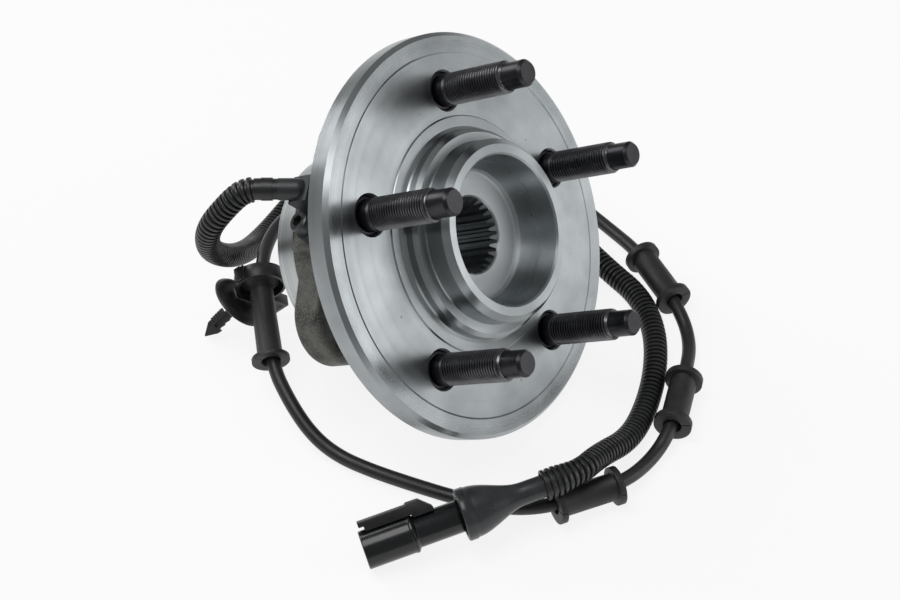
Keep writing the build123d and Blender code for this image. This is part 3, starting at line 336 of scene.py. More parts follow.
def copy_turned(piece: bpy.types.Object, name: str, angle: float) -> bpy.types.Object:
    """Copy a piece with its own mesh, turned round local Z.

    Args:
        piece: The piece to copy.
        name: Name of the copy.
        angle: Angle in degrees.

    Returns:
        The copy.
    """
    select_only(piece)
    bpy.ops.object.duplicate()
    twin = bpy.context.object
    twin.name = name
    return turn_piece(twin, angle)


def shade(piece: bpy.types.Object, angle: float = 32.0) -> None:
    """Shade a piece smooth, with edges sharper than the angle kept crisp."""
    select_only(piece)
    bpy.ops.object.shade_smooth_by_angle(angle=math.radians(angle))


def copy_node(name: str, node: str, dissolve: float = 1.5) -> bpy.types.Object:
    """Copy a CAD node's mesh as a welded piece of its own.

    Args:
        name: Name of the new piece.
        node: Name of the CAD node.
        dissolve: Angle in degrees below which flat triangles are merged.

    Returns:
        The welded copy, in place in the row frame.
    """
    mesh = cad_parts[node].data.copy()
    piece = bpy.data.objects.new(name, mesh)
    bpy.context.scene.collection.objects.link(piece)
    select_only(piece)
    bpy.ops.object.mode_set(mode="EDIT")
    bpy.ops.mesh.select_all(action="SELECT")
    bpy.ops.mesh.remove_doubles(threshold=2 * TOUCH)
    bpy.ops.mesh.customdata_custom_splitnormals_clear()
    bpy.ops.mesh.dissolve_limited(angle_limit=math.radians(dissolve))
    bpy.ops.object.mode_set(mode="OBJECT")
    return piece


def settle(
    piece: bpy.types.Object,
    finish: bpy.types.Material,
    body: Body,
    nodes: Iterable[str] = (),
) -> bpy.types.Object:
    """Dress a finished piece and tie it to its body.

    Args:
        piece: The finished piece, in place.
        finish: Material that it wears, unless it has its own.
        body: Body that it rides on.
        nodes: CAD nodes that it stands for.

    Returns:
        The same piece.
    """
    if len(piece.data.materials) == 0 or piece.data.materials[0] is None:
        piece.data.materials.clear()
        piece.data.materials.append(finish)
    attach(piece, body.value)
    for node in nodes:
        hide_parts(node)
    LOG.info("%s rides on %s", piece.name, body.value)
    return piece


def dress_node(node: str, finish: bpy.types.Material) -> None:
    """Give a CAD node its finish.

    Args:
        node: Name of the node.
        finish: Material that it wears.
    """
    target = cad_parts[node]
    target.data.materials.clear()
    target.data.materials.append(finish)
    LOG.info("%s keeps its CAD shape", node)


# --------------------------------------------------------------------------
# Finishes
# --------------------------------------------------------------------------


def linear(code: str) -> tuple[float, float, float, float]:
    """Turn an sRGB hex colour into linear RGBA.

    Args:
        code: The colour as #RRGGBB.

    Returns:
        Linear red, green, blue and an alpha of one.
    """
    channels = [int(code[i : i + 2], 16) / 255 for i in (1, 3, 5)]
    bright = [c / 12.92 if c <= 0.04045 else ((c + 0.055) / 1.055) ** 2.4 for c in channels]
    return (*bright, 1.0)


def add_node(
    tree: bpy.types.NodeTree, kind: str, links: dict | None = None, **settings: object
) -> bpy.types.Node:
    """Add one shader node with its settings and links.

    Args:
        tree: Node tree of the material.
        kind: Blender's name of the node type, less its "ShaderNode".
        links: What each input gets, by name or number: a value, a socket, or
            a node, which gives its first output in use.
        settings: Properties of the node.

    Returns:
        The new node.
    """
    node = tree.nodes.new("ShaderNode" + kind)
    for key, value in settings.items():
        setattr(node, key, value)
    for key, value in (links or {}).items():
        if isinstance(value, bpy.types.Node):
            value = next(out for out in value.outputs if out.enabled)
        if isinstance(value, bpy.types.NodeSocket):
            tree.links.new(value, node.inputs[key])
        else:
            node.inputs[key].default_value = value
    return node


def start_material(name: str) -> tuple[bpy.types.Material, bpy.types.NodeTree]:
    """Make an empty node material.

    Args:
        name: Name of the material.

    Returns:
        The material and its tree.
    """
    material = bpy.data.materials.new(name)
    material.use_nodes = True
    material.node_tree.nodes.clear()
    return material, material.node_tree


def seat_point(tree: bpy.types.NodeTree, seat: Seat) -> bpy.types.Node:
    """Take the shading point into a work frame.

    Args:
        tree: Node tree of the material.
        seat: The work frame.

    Returns:
        The node that gives the point in metres.
    """
    inverse = seat.matrix().inverted()
    return add_node(
        tree,
        "Mapping",
        {
            "Vector": add_node(tree, "TexCoord").outputs["Object"],
            "Location": inverse.to_translation(),
            "Rotation": inverse.to_euler(),
        },
    )


def radius_and_height(
    tree: bpy.types.NodeTree, point: bpy.types.Node
) -> tuple[bpy.types.Node, bpy.types.NodeSocket]:
    """Split a point into its distance from local Z and its height.

    Args:
        tree: Node tree of the material.
        point: Node that gives the point.

    Returns:
        The node of the radius and the socket of the height, in metres.
    """
    parts = add_node(tree, "SeparateXYZ", {0: point})
    flat = add_node(tree, "CombineXYZ", {0: parts.outputs[0], 1: parts.outputs[1]})
    return add_node(tree, "VectorMath", {0: flat}, operation="LENGTH"), parts.outputs[2]


@dataclass(frozen=True)
class TurnedSteel:
    """Carbon steel forging, finish-turned dry on a lathe: satin, with a fine
    concentric lay that draws highlights out across the tool marks."""

    name: str = "turned carbon steel"
    colour: str = "#A9AEB0"
    stain: str = "#909597"
    fleck: str = "#4E4A45"
    roughness: float = 0.30
    anisotropy: float = 0.72
    feed_mm: float = 0.9  # real feed is 0.15 mm, too fine to show at this distance
    feed_climb: float = 0.618  # height's share in the track, for the cylinders
    feed_tone: float = 0.22
    chatter_mm: float = 6.0
    blotch_mm: float = 22.0
    fleck_mm: float = 9.0
    fleck_share: float = 0.045
    fleck_rare: float = 0.62
    fleck_tone: float = 0.75
    lay_height_mm: float = 0.004
    lay_strength: float = 0.25
    floor_r_mm: float = 25.9
    floor_h_mm: float = 1.2
    floor_bore_r_mm: float = 15.2
    # painted light: the recess floor is painted lighter than the turned face
    floor_painted_light: str = "#BEC2C4"
    floor_dulling: float = 0.22
    seat: Seat = HUB

    def material(self) -> bpy.types.Material:
        """Build the node material.

        Returns:
            The material.
        """
        material, tree = start_material(self.name)
        point = seat_point(tree, self.seat)
        radius, height = radius_and_height(tree, point)
        climb = add_node(tree, "Math", {0: height, 1: self.feed_climb}, operation="MULTIPLY")
        track = add_node(tree, "Math", {0: radius, 1: climb}, operation="ADD")
        lay = add_node(
            tree,
            "TexNoise",
            {"W": track, "Scale": 1 / (self.feed_mm * MM), "Detail": 2.0, "Roughness": 0.6},
            noise_dimensions="1D",
        )
        chatter = add_node(
            tree,
            "TexNoise",
            {"W": track, "Scale": 1 / (self.chatter_mm * MM), "Detail": 1.0},
            noise_dimensions="1D",
        )
        on_floor = self.recess_floor(tree, radius, height)
        rough = add_node(
            tree,
            "MapRange",
            {0: chatter, 1: 0.3, 2: 0.7, 3: self.roughness - 0.03, 4: self.roughness + 0.04},
        )
        duller = add_node(
            tree, "Math", {0: on_floor, 1: self.floor_dulling}, operation="MULTIPLY"
        )
        bump = add_node(
            tree,
            "Bump",
            {
                "Strength": self.lay_strength,
                "Distance": self.lay_height_mm * MM,
                "Height": lay,
            },
        )
        shader = add_node(
            tree,
            "BsdfPrincipled",
            {
                "Base Color": self.tone(tree, point, lay, on_floor),
                "Metallic": 1.0,
                "Roughness": add_node(tree, "Math", {0: rough, 1: duller}, operation="ADD"),
                "Anisotropic": self.anisotropy,
                "Tangent": self.across_lay(tree),
                "Normal": bump,
            },
        )
        add_node(tree, "OutputMaterial", {"Surface": shader})
        return material

    def tone(
        self,
        tree: bpy.types.NodeTree,
        point: bpy.types.Node,
        lay: bpy.types.Node,
        on_floor: bpy.types.Node,
    ) -> bpy.types.Node:
        """Mix the steel's colour from its stains, its lay, flecks and the painted light on the
        recess floor.

        Args:
            tree: Node tree of the material.
            point: Point in the work frame.
            lay: Pattern of the tool marks.
            on_floor: One on the floor of the recess.

        Returns:
            The node that gives the colour.
        """
        blotch = add_node(
            tree,
            "TexNoise",
            {"Vector": point, "Scale": 1 / (self.blotch_mm * MM), "Detail": 3.0},
        )
        cell = add_node(
            tree,
            "TexVoronoi",
            {"Vector": point, "Scale": 1 / (self.fleck_mm * MM)},
            feature="F1",
        )
        chance = add_node(tree, "SeparateColor", {0: cell.outputs["Color"]})
        dot = add_node(
            tree,
            "Math",
            {0: cell.outputs["Distance"], 1: self.fleck_share},
            operation="LESS_THAN",
        )
        rare = add_node(tree, "Math", {0: chance, 1: self.fleck_rare}, operation="GREATER_THAN")
        fleck = add_node(tree, "Math", {0: dot, 1: rare}, operation="MULTIPLY")
        stained = add_node(tree, "MapRange", {0: blotch, 1: 0.35, 2: 0.7})
        marked = add_node(tree, "MapRange", {0: lay, 1: 0.3, 2: 0.7, 4: self.feed_tone})
        flecked = add_node(tree, "Math", {0: fleck, 1: self.fleck_tone}, operation="MULTIPLY")
        colour: bpy.types.Node | tuple = linear(self.colour)
        for share, other in (
            (stained, self.stain),
            (marked, self.stain),
            (flecked, self.fleck),
            # painted light: lighter colour on the recess floor
            (on_floor, self.floor_painted_light),
        ):
            colour = add_node(
                tree, "Mix", {0: share, 6: colour, 7: linear(other)}, data_type="RGBA"
            )
        return colour

    def recess_floor(
        self, tree: bpy.types.NodeTree, radius: bpy.types.Node, height: bpy.types.NodeSocket
    ) -> bpy.types.Node:
        """Mark the floor of the recess, where the colour is painted lighter, painted light for the
        reflections that its walls keep out, and the gloss is dulled.

        Args:
            tree: Node tree of the material.
            radius: Distance from the spin axis.
            height: Height over the wheel face.

        Returns:
            The node that gives one there and zero elsewhere.
        """
        under = add_node(
            tree, "Math", {0: radius, 1: self.floor_r_mm * MM}, operation="LESS_THAN"
        )
        past_bore = add_node(
            tree, "Math", {0: radius, 1: self.floor_bore_r_mm * MM}, operation="GREATER_THAN"
        )
        level = add_node(
            tree, "Math", {0: height, 1: 0.0, 2: self.floor_h_mm * MM}, operation="COMPARE"
        )
        ring = add_node(tree, "Math", {0: past_bore, 1: level}, operation="MULTIPLY")
        return add_node(tree, "Math", {0: under, 1: ring}, operation="MULTIPLY")

    def across_lay(self, tree: bpy.types.NodeTree) -> bpy.types.Node:
        """Find the direction square to the tool marks, in the surface.

        Args:
            tree: Node tree of the material.

        Returns:
            The node that gives the direction.
        """
        outward = add_node(
            tree,
            "VectorMath",
            {
                0: add_node(tree, "TexCoord").outputs["Object"],
                1: tuple(self.seat.origin),
            },
            operation="SUBTRACT",
        )
        around = add_node(
            tree,
            "VectorMath",
            {0: tuple(self.seat.z_dir.normalized()), 1: outward},
            operation="CROSS_PRODUCT",
        )
        normal = add_node(tree, "NewGeometry").outputs["Normal"]
        return add_node(tree, "VectorMath", {0: normal, 1: around}, operation="CROSS_PRODUCT")


@dataclass(frozen=True)
class GrainedSurface:
    """A moulded, cast or coated surface whose look is a base colour with a
    grain: fine relief, a second tone in patches and an uneven gloss."""

    name: str
    colour: str
    second: str
    metallic: float = 0.0
    roughness: float = 0.5
    unevenness: float = 0.06
    grain_mm: float = 0.6
    grain_tone: float = 0.35
    relief_mm: float = 0.02
    relief_strength: float = 0.3
    patch_mm: float = 12.0
    patch_from: float = 0.25
    ior: float = 1.5

    def material(self) -> bpy.types.Material:
        """Build the node material.

        Returns:
            The material.
        """
        material, tree = start_material(self.name)
        point = add_node(tree, "TexCoord").outputs["Object"]
        patch = add_node(
            tree,
            "TexNoise",
            {"Vector": point, "Scale": 1 / (self.patch_mm * MM), "Detail": 4.0, "Roughness": 0.6},
        )
        grain = add_node(
            tree,
            "TexNoise",
            {"Vector": point, "Scale": 1 / (self.grain_mm * MM), "Detail": 3.0, "Roughness": 0.65},
        )
        patched = add_node(tree, "MapRange", {0: patch, 1: self.patch_from, 2: 0.85})
        grained = add_node(tree, "MapRange", {0: grain, 1: 0.45, 2: 0.75, 4: self.grain_tone})
        colour: bpy.types.Node | tuple = linear(self.colour)
        for share in (patched, grained):
            colour = add_node(
                tree, "Mix", {0: share, 6: colour, 7: linear(self.second)}, data_type="RGBA"
            )
        rough = add_node(
            tree,
            "MapRange",
            {
                0: patch,
                1: 0.3,
                2: 0.7,
                3: self.roughness - self.unevenness,
                4: self.roughness + self.unevenness,
            },
        )
        bump = add_node(
            tree,
            "Bump",
            {
                "Strength": self.relief_strength,
                "Distance": self.relief_mm * MM,
                "Height": grain,
            },
        )
        shader = add_node(
            tree,
            "BsdfPrincipled",
            {
                "Base Color": colour,
                "Metallic": self.metallic,
                "Roughness": rough,
                "IOR": self.ior,
                "Normal": bump,
            },
        )
        add_node(tree, "OutputMaterial", {"Surface": shader})
        return material


@dataclass(frozen=True)
class ForgedRing:
    """Shot-blasted steel forging, dull and grey-brown, with its barrel, bores
    and ends turned bright: the mask follows the radius and height of the cut."""

    name: str = "shot-blasted forging with turned seats"
    scale: str = "#3E3F3C"
    scale_light: str = "#84847E"
    scale_metal: float = 0.55
    scale_rough: float = 0.62
    bright: str = "#BFC3C4"
    bright_dark: str = "#8E9293"
    bright_rough: float = 0.32
    blast_mm: float = 0.75
    blast_strength: float = 0.9
    blast_relief_mm: float = 0.16
    patch_mm: float = 9.0
    feed_mm: float = 0.9
    feed_climb: float = 0.618
    barrel_h_mm: float = -57.8
    bore_r_mm: float = 38.2
    front_h_mm: float = -20.3

    def material(self) -> bpy.types.Material:
        """Build the node material.

        Returns:
            The material.
        """
        material, tree = start_material(self.name)
        point = seat_point(tree, HUB)
        radius, height = radius_and_height(tree, point)
        machined = self.machined(tree, radius, height)
        blast = add_node(
            tree,
            "TexNoise",
            {"Vector": point, "Scale": 1 / (self.blast_mm * MM), "Detail": 4.0, "Roughness": 0.7},
        )
        forged = self.forged(tree, point, blast)
        turned = self.turned(tree, radius, height)
        as_forged = add_node(tree, "Math", {0: 1.0, 1: machined}, operation="SUBTRACT")
        bump = add_node(
            tree,
            "Bump",
            {
                "Strength": self.blast_strength,
                "Distance": self.blast_relief_mm * MM,
                "Height": add_node(
                    tree, "Math", {0: blast, 1: as_forged}, operation="MULTIPLY"
                ),
            },
        )
        shader = add_node(
            tree,
            "BsdfPrincipled",
            {
                "Base Color": add_node(
                    tree, "Mix", {0: machined, 6: forged, 7: turned}, data_type="RGBA"
                ),
                "Metallic": add_node(tree, "MapRange", {0: machined, 3: self.scale_metal}),
                "Roughness": add_node(
                    tree,
                    "MapRange",
                    {0: machined, 3: self.scale_rough, 4: self.bright_rough},
                ),
                "Normal": bump,
            },
        )
        add_node(tree, "OutputMaterial", {"Surface": shader})
        return material

    def machined(
        self, tree: bpy.types.NodeTree, radius: bpy.types.Node, height: bpy.types.NodeSocket
    ) -> bpy.types.Node:
        """Mark what the lathe has cut.

        Args:
            tree: Node tree of the material.
            radius: Distance from the spin axis.
            height: Height over the wheel face.

        Returns:
            The node that gives one on the barrel, in the bores and in front.
        """
        barrel = add_node(
            tree, "Math", {0: height, 1: self.barrel_h_mm * MM}, operation="LESS_THAN"
        )
        bore = add_node(tree, "Math", {0: radius, 1: self.bore_r_mm * MM}, operation="LESS_THAN")
        front = add_node(
            tree, "Math", {0: height, 1: self.front_h_mm * MM}, operation="GREATER_THAN"
        )
        inner = add_node(tree, "Math", {0: bore, 1: front}, operation="MAXIMUM")
        return add_node(tree, "Math", {0: barrel, 1: inner}, operation="MAXIMUM")

    def forged(
        self, tree: bpy.types.NodeTree, point: bpy.types.Node, blast: bpy.types.Node
    ) -> bpy.types.Node:
        """Mix the speckled colour of the blasted skin.

        Args:
            tree: Node tree of the material.
            point: Point in the work frame.
            blast: Pattern of the shot's dimples.

        Returns:
            The node that gives the colour.
        """
        patch = add_node(
            tree,
            "TexNoise",
            {"Vector": point, "Scale": 1 / (self.patch_mm * MM), "Detail": 5.0, "Roughness": 0.6},
        )
        patched = add_node(tree, "MapRange", {0: patch, 1: 0.35, 2: 0.72, 4: 0.8})
        dimpled = add_node(tree, "MapRange", {0: blast, 1: 0.5, 2: 0.66, 4: 0.85})
        colour: bpy.types.Node | tuple = linear(self.scale)
        for share in (patched, dimpled):
            colour = add_node(
                tree, "Mix", {0: share, 6: colour, 7: linear(self.scale_light)}, data_type="RGBA"
            )
        return colour

    def turned(
        self, tree: bpy.types.NodeTree, radius: bpy.types.Node, height: bpy.types.NodeSocket
    ) -> bpy.types.Node:
        """Mix the colour of the turned seats, ringed by the feed.

        Args:
            tree: Node tree of the material.
            radius: Distance from the spin axis.
            height: Height over the wheel face.

        Returns:
            The node that gives the colour.
        """
        climb = add_node(tree, "Math", {0: height, 1: self.feed_climb}, operation="MULTIPLY")
        track = add_node(tree, "Math", {0: radius, 1: climb}, operation="ADD")
        lay = add_node(
            tree,
            "TexNoise",
            {"W": track, "Scale": 1 / (self.feed_mm * MM), "Detail": 2.0},
            noise_dimensions="1D",
        )
        share = add_node(tree, "MapRange", {0: lay, 1: 0.3, 2: 0.7, 4: 0.5})
        return add_node(
            tree,
            "Mix",
            {0: share, 6: linear(self.bright), 7: linear(self.bright_dark)},
            data_type="RGBA",
        )


FINISHES = {
    # Forged, then turned and left bare: bright satin with ringed highlights.
    "hub": TurnedSteel(),
    # Forged and shot-blasted: dull speckle beside bright turned seats.
    "ring": ForgedRing(),
    # Hardened and ground: tighter, whiter highlights than the turned flange.
    "ground": TurnedSteel(
        name="ground bearing steel", colour="#C9CBCC", stain="#B2B5B6", roughness=0.2,
        anisotropy=0.4,
    ),
    # Sintered and hobbed: matt grey without a lay.
    "tone": TurnedSteel(
        name="hobbed sintered steel", colour="#8F908F", stain="#6F706F", roughness=0.45,
        anisotropy=0.1,
    ),
    # Lapped to a mirror: near black and white reflections.
    "ball": GrainedSurface(
        "lapped chrome steel", "#C8CACB", "#BEC1C2", metallic=1.0, roughness=0.12,
        unevenness=0.02, relief_strength=0.02,
    ),
    # Blackened in a hot bath over machined steel: dark with a soft sheen.
    "stud": GrainedSurface(
        "black oxide on rolled steel", "#343437", "#48484B", metallic=1.0,
        roughness=0.33, unevenness=0.05, grain_mm=0.5, relief_mm=0.015,
        relief_strength=0.25, patch_mm=6.0,
    ),
    # Rolled after blackening, crests partly rubbed; the whole thread wears a lighter copy of the
    # stud's oxide, a painted glint so its crests catch brighter highlights.
    "thread": GrainedSurface(
        "black oxide with rubbed crests and painted glints", "#58585B", "#77777A", metallic=1.0,
        roughness=0.26, unevenness=0.04, grain_mm=0.5, relief_mm=0.01,
        relief_strength=0.2, patch_mm=6.0,
    ),
    # Dipped and spun: a thin grey coat, mottled.
    "screw": GrainedSurface(
        "zinc flake on alloy steel", "#47484A", "#6C6D6E", metallic=0.9, roughness=0.4,
        unevenness=0.08, grain_mm=0.5, relief_mm=0.02, relief_strength=0.4, patch_mm=3.0,
    ),
    # Moulded with short glass: opaque straw colour.
    "cage": GrainedSurface(
        "glass-filled nylon, natural", "#B9A987", "#8F8266", roughness=0.5, grain_mm=0.8,
    ),
    # Moulded and vulcanised: matt black.
    "seal": GrainedSurface(
        "nitrile rubber, moulded", "#1A1A1A", "#262626", roughness=0.55,
        relief_mm=0.02, relief_strength=0.3,
    ),
    # Moulded with glass in a spark-eroded mould: slate with a fine texture.
    "sensor": GrainedSurface(
        "glass-filled nylon, slate grey", "#222426", "#35383A", roughness=0.4,
        grain_mm=0.5, relief_mm=0.03, relief_strength=0.35, patch_mm=5.0,
    ),
    # Shot over the lead's end: near black, half gloss.
    "overmould": GrainedSurface(
        "polyurethane overmould", "#131415", "#232425", roughness=0.36,
        grain_mm=0.6, relief_mm=0.02, relief_strength=0.25, patch_mm=5.0,
    ),
    # Extruded: smooth black with a long soft highlight.
    "cable": GrainedSurface(
        "extruded polyurethane jacket", "#1B1B1B", "#2C2C2C", roughness=0.42,
        unevenness=0.07, grain_mm=0.8, relief_mm=0.02, relief_strength=0.2, patch_mm=14.0,
    ),
    # Extruded and formed between moving dies: waxy black rings.
    "conduit": GrainedSurface(
        "corrugated nylon", "#18191A", "#2C2D2E", roughness=0.36, unevenness=0.05,
        grain_mm=0.7, relief_mm=0.02, relief_strength=0.2, patch_mm=8.0,
    ),
    # Compression-moulded: matt with a greyish bloom.
    "grommet": GrainedSurface(
        "moulded rubber", "#1A1A1A", "#303030", roughness=0.5, unevenness=0.08,
        grain_mm=0.6, relief_mm=0.03, relief_strength=0.35, patch_mm=7.0,
    ),
    # Injection-moulded: harder and glossier than the rubber beside it.
    "clip": GrainedSurface(
        "injection-moulded nylon", "#171817", "#333532", roughness=0.36, unevenness=0.07,
        grain_mm=0.6, relief_mm=0.02, relief_strength=0.25, patch_mm=6.0,
    ),
    # Moulded soft in a polished mould: charcoal with broad reflections.
    "boot": GrainedSurface(
        "silicone rubber boot", "#242628", "#3A3D3F", roughness=0.3, unevenness=0.08,
        grain_mm=0.7, relief_mm=0.03, relief_strength=0.3, patch_mm=8.0,
    ),
    # Moulded in a polished mould: the deepest gloss on the harness.
    "housing": GrainedSurface(
        "polished-mould polyester", "#0B0D0E", "#15181A", roughness=0.2, unevenness=0.04,
        grain_mm=0.9, relief_mm=0.006, relief_strength=0.12, patch_mm=9.0,
    ),
    # Moulded in an etched mould: matt against the housing.
    "lock": GrainedSurface(
        "textured-mould polyester", "#0E0E0F", "#1B1B1C", roughness=0.5, unevenness=0.06,
        grain_mm=0.45, relief_mm=0.03, relief_strength=0.4, patch_mm=5.0,
    ),
    # Stamped and tinned: pale gold through thin tin.
    "terminal": GrainedSurface(
        "tinned brass", "#B9A263", "#D2CDBD", metallic=1.0, roughness=0.3,
    ),
}

# --------------------------------------------------------------------------
# Rotor
# --------------------------------------------------------------------------


@dataclass
class HubFlange:
    """Flanged spindle: face, pilots, mouth, splined bore and stud holes (mm)."""

    flange_r: float = 80.0
    flange_t: float = 10.0
    front_chamfer: float = 1.7
    rear_chamfer: float = 0.8
    groove_r: float = 71.6
    groove_w: float = 0.7
    groove_depth: float = 0.3
    groove_lean: float = 0.15
    band_r: float = 46.8
    band_h: float = 0.6
    disc_pilot_r: float = 41.0
    disc_pilot_h: float = 7.0
    disc_chamfer: float = 1.6
    foot_h: float = 1.8
    face_drop: float = 0.5
    wheel_pilot_r: float = 35.65
    wheel_pilot_h: float = 17.6
    wheel_chamfer: float = 2.3
    mouth_r: float = 29.3
    mouth_chamfer: float = 0.7
    recess_r: float = 26.0
    recess_h: float = 1.6
    floor_h: float = -1.0
    spline_root_r: float = 15.1
    spline_tip_r: float = 13.7
    tip_share: float = 0.14
    root_share: float = 0.36
    lead_in_angle: float = 62.0
    spline_rear_h: float = -62.0
    counterbore_r: float = 15.8
    spindle_r: float = 20.5
    land_r: float = 24.4
    shoulder_r: float = 27.6
    boss_r: float = 35.5
    boss_h: float = -15.5
    rolled_r: float = 25.5
    rolled_t: float = 3.5
    end_h: float = -70.0
    ring_h: float = -40.5
    ball_row_h: float = -30.0
    groove_ball_r: float = 6.43
    pitch_r: float = 30.5
    stud_pcd: float = 114.3
    stud_start: float = -8.2
    stud_count: int = 5
    knurl_r: float = 7.6
    hole_chamfer: float = 0.7
    teeth: int = 27
    race_steps: int = 8
    steps: int = 256

    def race(self) -> list[tuple[float, float]]:
        """Return the arc of the outboard inner race from land to shoulder.

        Returns:
            (radius, height) points in millimetres.
        """
        drop_in = math.sqrt(self.groove_ball_r**2 - (self.pitch_r - self.land_r) ** 2)
        drop_out = math.sqrt(self.groove_ball_r**2 - (self.pitch_r - self.shoulder_r) ** 2)
        start = math.atan2(-drop_in, self.land_r - self.pitch_r) % (2 * math.pi)
        end = math.atan2(drop_out, self.shoulder_r - self.pitch_r) % (2 * math.pi)
        arc = []
        for i in range(self.race_steps + 1):
            angle = start + (end - start) * i / self.race_steps
            arc.append(
                (
                    self.pitch_r + self.groove_ball_r * math.cos(angle),
                    self.ball_row_h + self.groove_ball_r * math.sin(angle),
                )
            )
        return arc

    def outline(self) -> list[tuple[float, float]]:
        """Return the half-section, from the spline's front round to its rear.

        Returns:
            (radius, height) corners in millimetres.
        """
        rear = self.end_h - self.rolled_t
        edge = self.flange_r
        g = self.groove_w
        return [
            (self.spline_root_r, self.spline_rear_h),
            (self.counterbore_r, self.spline_rear_h),
            (self.counterbore_r, rear),
            (self.rolled_r - 1.2, rear),
            (self.rolled_r, rear + 1.2),
            (self.rolled_r, self.end_h),
            (self.spindle_r, self.end_h),
            (self.spindle_r, self.ring_h),
            (self.land_r, self.ring_h),
            *self.race(),
            (self.shoulder_r, self.boss_h),
            (self.boss_r, self.boss_h),
            (self.boss_r + 0.6, -self.flange_t - 1.9),
            (self.boss_r + 2.5, -self.flange_t),
            (edge - self.rear_chamfer, -self.flange_t),
            (edge, -self.flange_t + self.rear_chamfer),
            (edge, -self.front_chamfer),
            (edge - self.front_chamfer, 0.0),
            (self.groove_r + g, 0.0),
            (self.groove_r + g * self.groove_lean, -self.groove_depth),
            (self.groove_r, 0.0),
            (self.band_r + 0.35, 0.0),
            (self.band_r, 0.25),
            (self.band_r - 0.2, self.band_h),
            (self.disc_pilot_r + 1.6, self.band_h + 0.15),
            (self.disc_pilot_r + 0.4, self.foot_h - 0.4),
            (self.disc_pilot_r, self.foot_h + 0.4),
            (self.disc_pilot_r, self.disc_pilot_h - self.disc_chamfer),
            (self.disc_pilot_r - self.disc_chamfer, self.disc_pilot_h),
            (self.wheel_pilot_r + 0.9, self.disc_pilot_h),
            (self.wheel_pilot_r + 0.25, self.disc_pilot_h + 0.15),
            (self.wheel_pilot_r, self.disc_pilot_h + self.face_drop + 0.2),
            (self.wheel_pilot_r, self.wheel_pilot_h - self.wheel_chamfer),
            (self.wheel_pilot_r - self.wheel_chamfer, self.wheel_pilot_h),
            (self.mouth_r + self.mouth_chamfer, self.wheel_pilot_h),
            (self.mouth_r, self.wheel_pilot_h - self.mouth_chamfer),
            (self.recess_r + 0.3, self.recess_h + 0.6),
            (self.recess_r - 0.1, self.recess_h - 0.2),
            (self.recess_r - 0.7, self.floor_h + 0.5),
            (self.recess_r - 1.6, self.floor_h),
            (self.spline_root_r + 0.7, self.floor_h),
            (self.spline_root_r, self.floor_h - 0.7),
        ]

    def spline_teeth(self) -> bpy.types.Object:
        """Model one internal tooth with its lead-in and copy it round the bore.

        Returns:
            The ring of teeth, in the work frame.
        """
        pitch = 2 * math.pi / self.teeth
        tip = self.spline_tip_r
        root = self.spline_root_r + 0.3
        half_tip = tip * math.tan(pitch * self.tip_share)
        half_root = root * math.tan(pitch * self.root_share)
        tooth = prism(
            "spline tooth",
            [(tip, -half_tip), (root, -half_root), (root, half_root), (tip, half_tip)],
            self.spline_rear_h,
            self.floor_h - 0.45,
        )
        lead = block("lead-in", (-40, -10, 0), (0, 10, 8))
        turn_piece(lead, -self.lead_in_angle, "Y")
        shift_piece(lead, self.spline_root_r + 0.2, 0.0, self.floor_h - 0.4)
        cut(tooth, lead)
        teeth = [tooth]
        for i in range(1, self.teeth):
            teeth.append(copy_turned(tooth, f"spline tooth {i}", 360 / self.teeth * i))
        return join(teeth)

    def build(self, finish: bpy.types.Material) -> bpy.types.Object:
        """Turn, drill and spline the flange, and put it in its place.

        Args:
            finish: Material that it wears.

        Returns:
            The finished piece.
        """
        flange = lathe("hub_flange", self.outline(), self.steps, closed=True)
        reach = self.stud_pcd / 2
        for i in range(self.stud_count):
            angle = math.radians(self.stud_start + 360 / self.stud_count * i)
            hole = lathe(
                "stud hole",
                [
                    (0.0, -self.flange_t - 1),
                    (self.knurl_r + 0.02, -self.flange_t - 1),
                    (self.knurl_r + 0.02, -self.hole_chamfer),
                    (self.knurl_r + self.hole_chamfer + 0.3, 0.3),
                    (self.knurl_r + self.hole_chamfer + 0.3, 1.0),
                    (0.0, 1.0),
                ],
                48,
            )
            shift_piece(hole, reach * math.cos(angle), reach * math.sin(angle), 0.0)
            cut(flange, hole)
        shade(flange, 24.0)
        teeth = self.spline_teeth()
        shade(teeth, 20.0)
        hub = join([flange, teeth])
        place(hub, HUB.matrix())
        return settle(hub, finish, Body.ROTOR, ["hub_flange_spindle"])


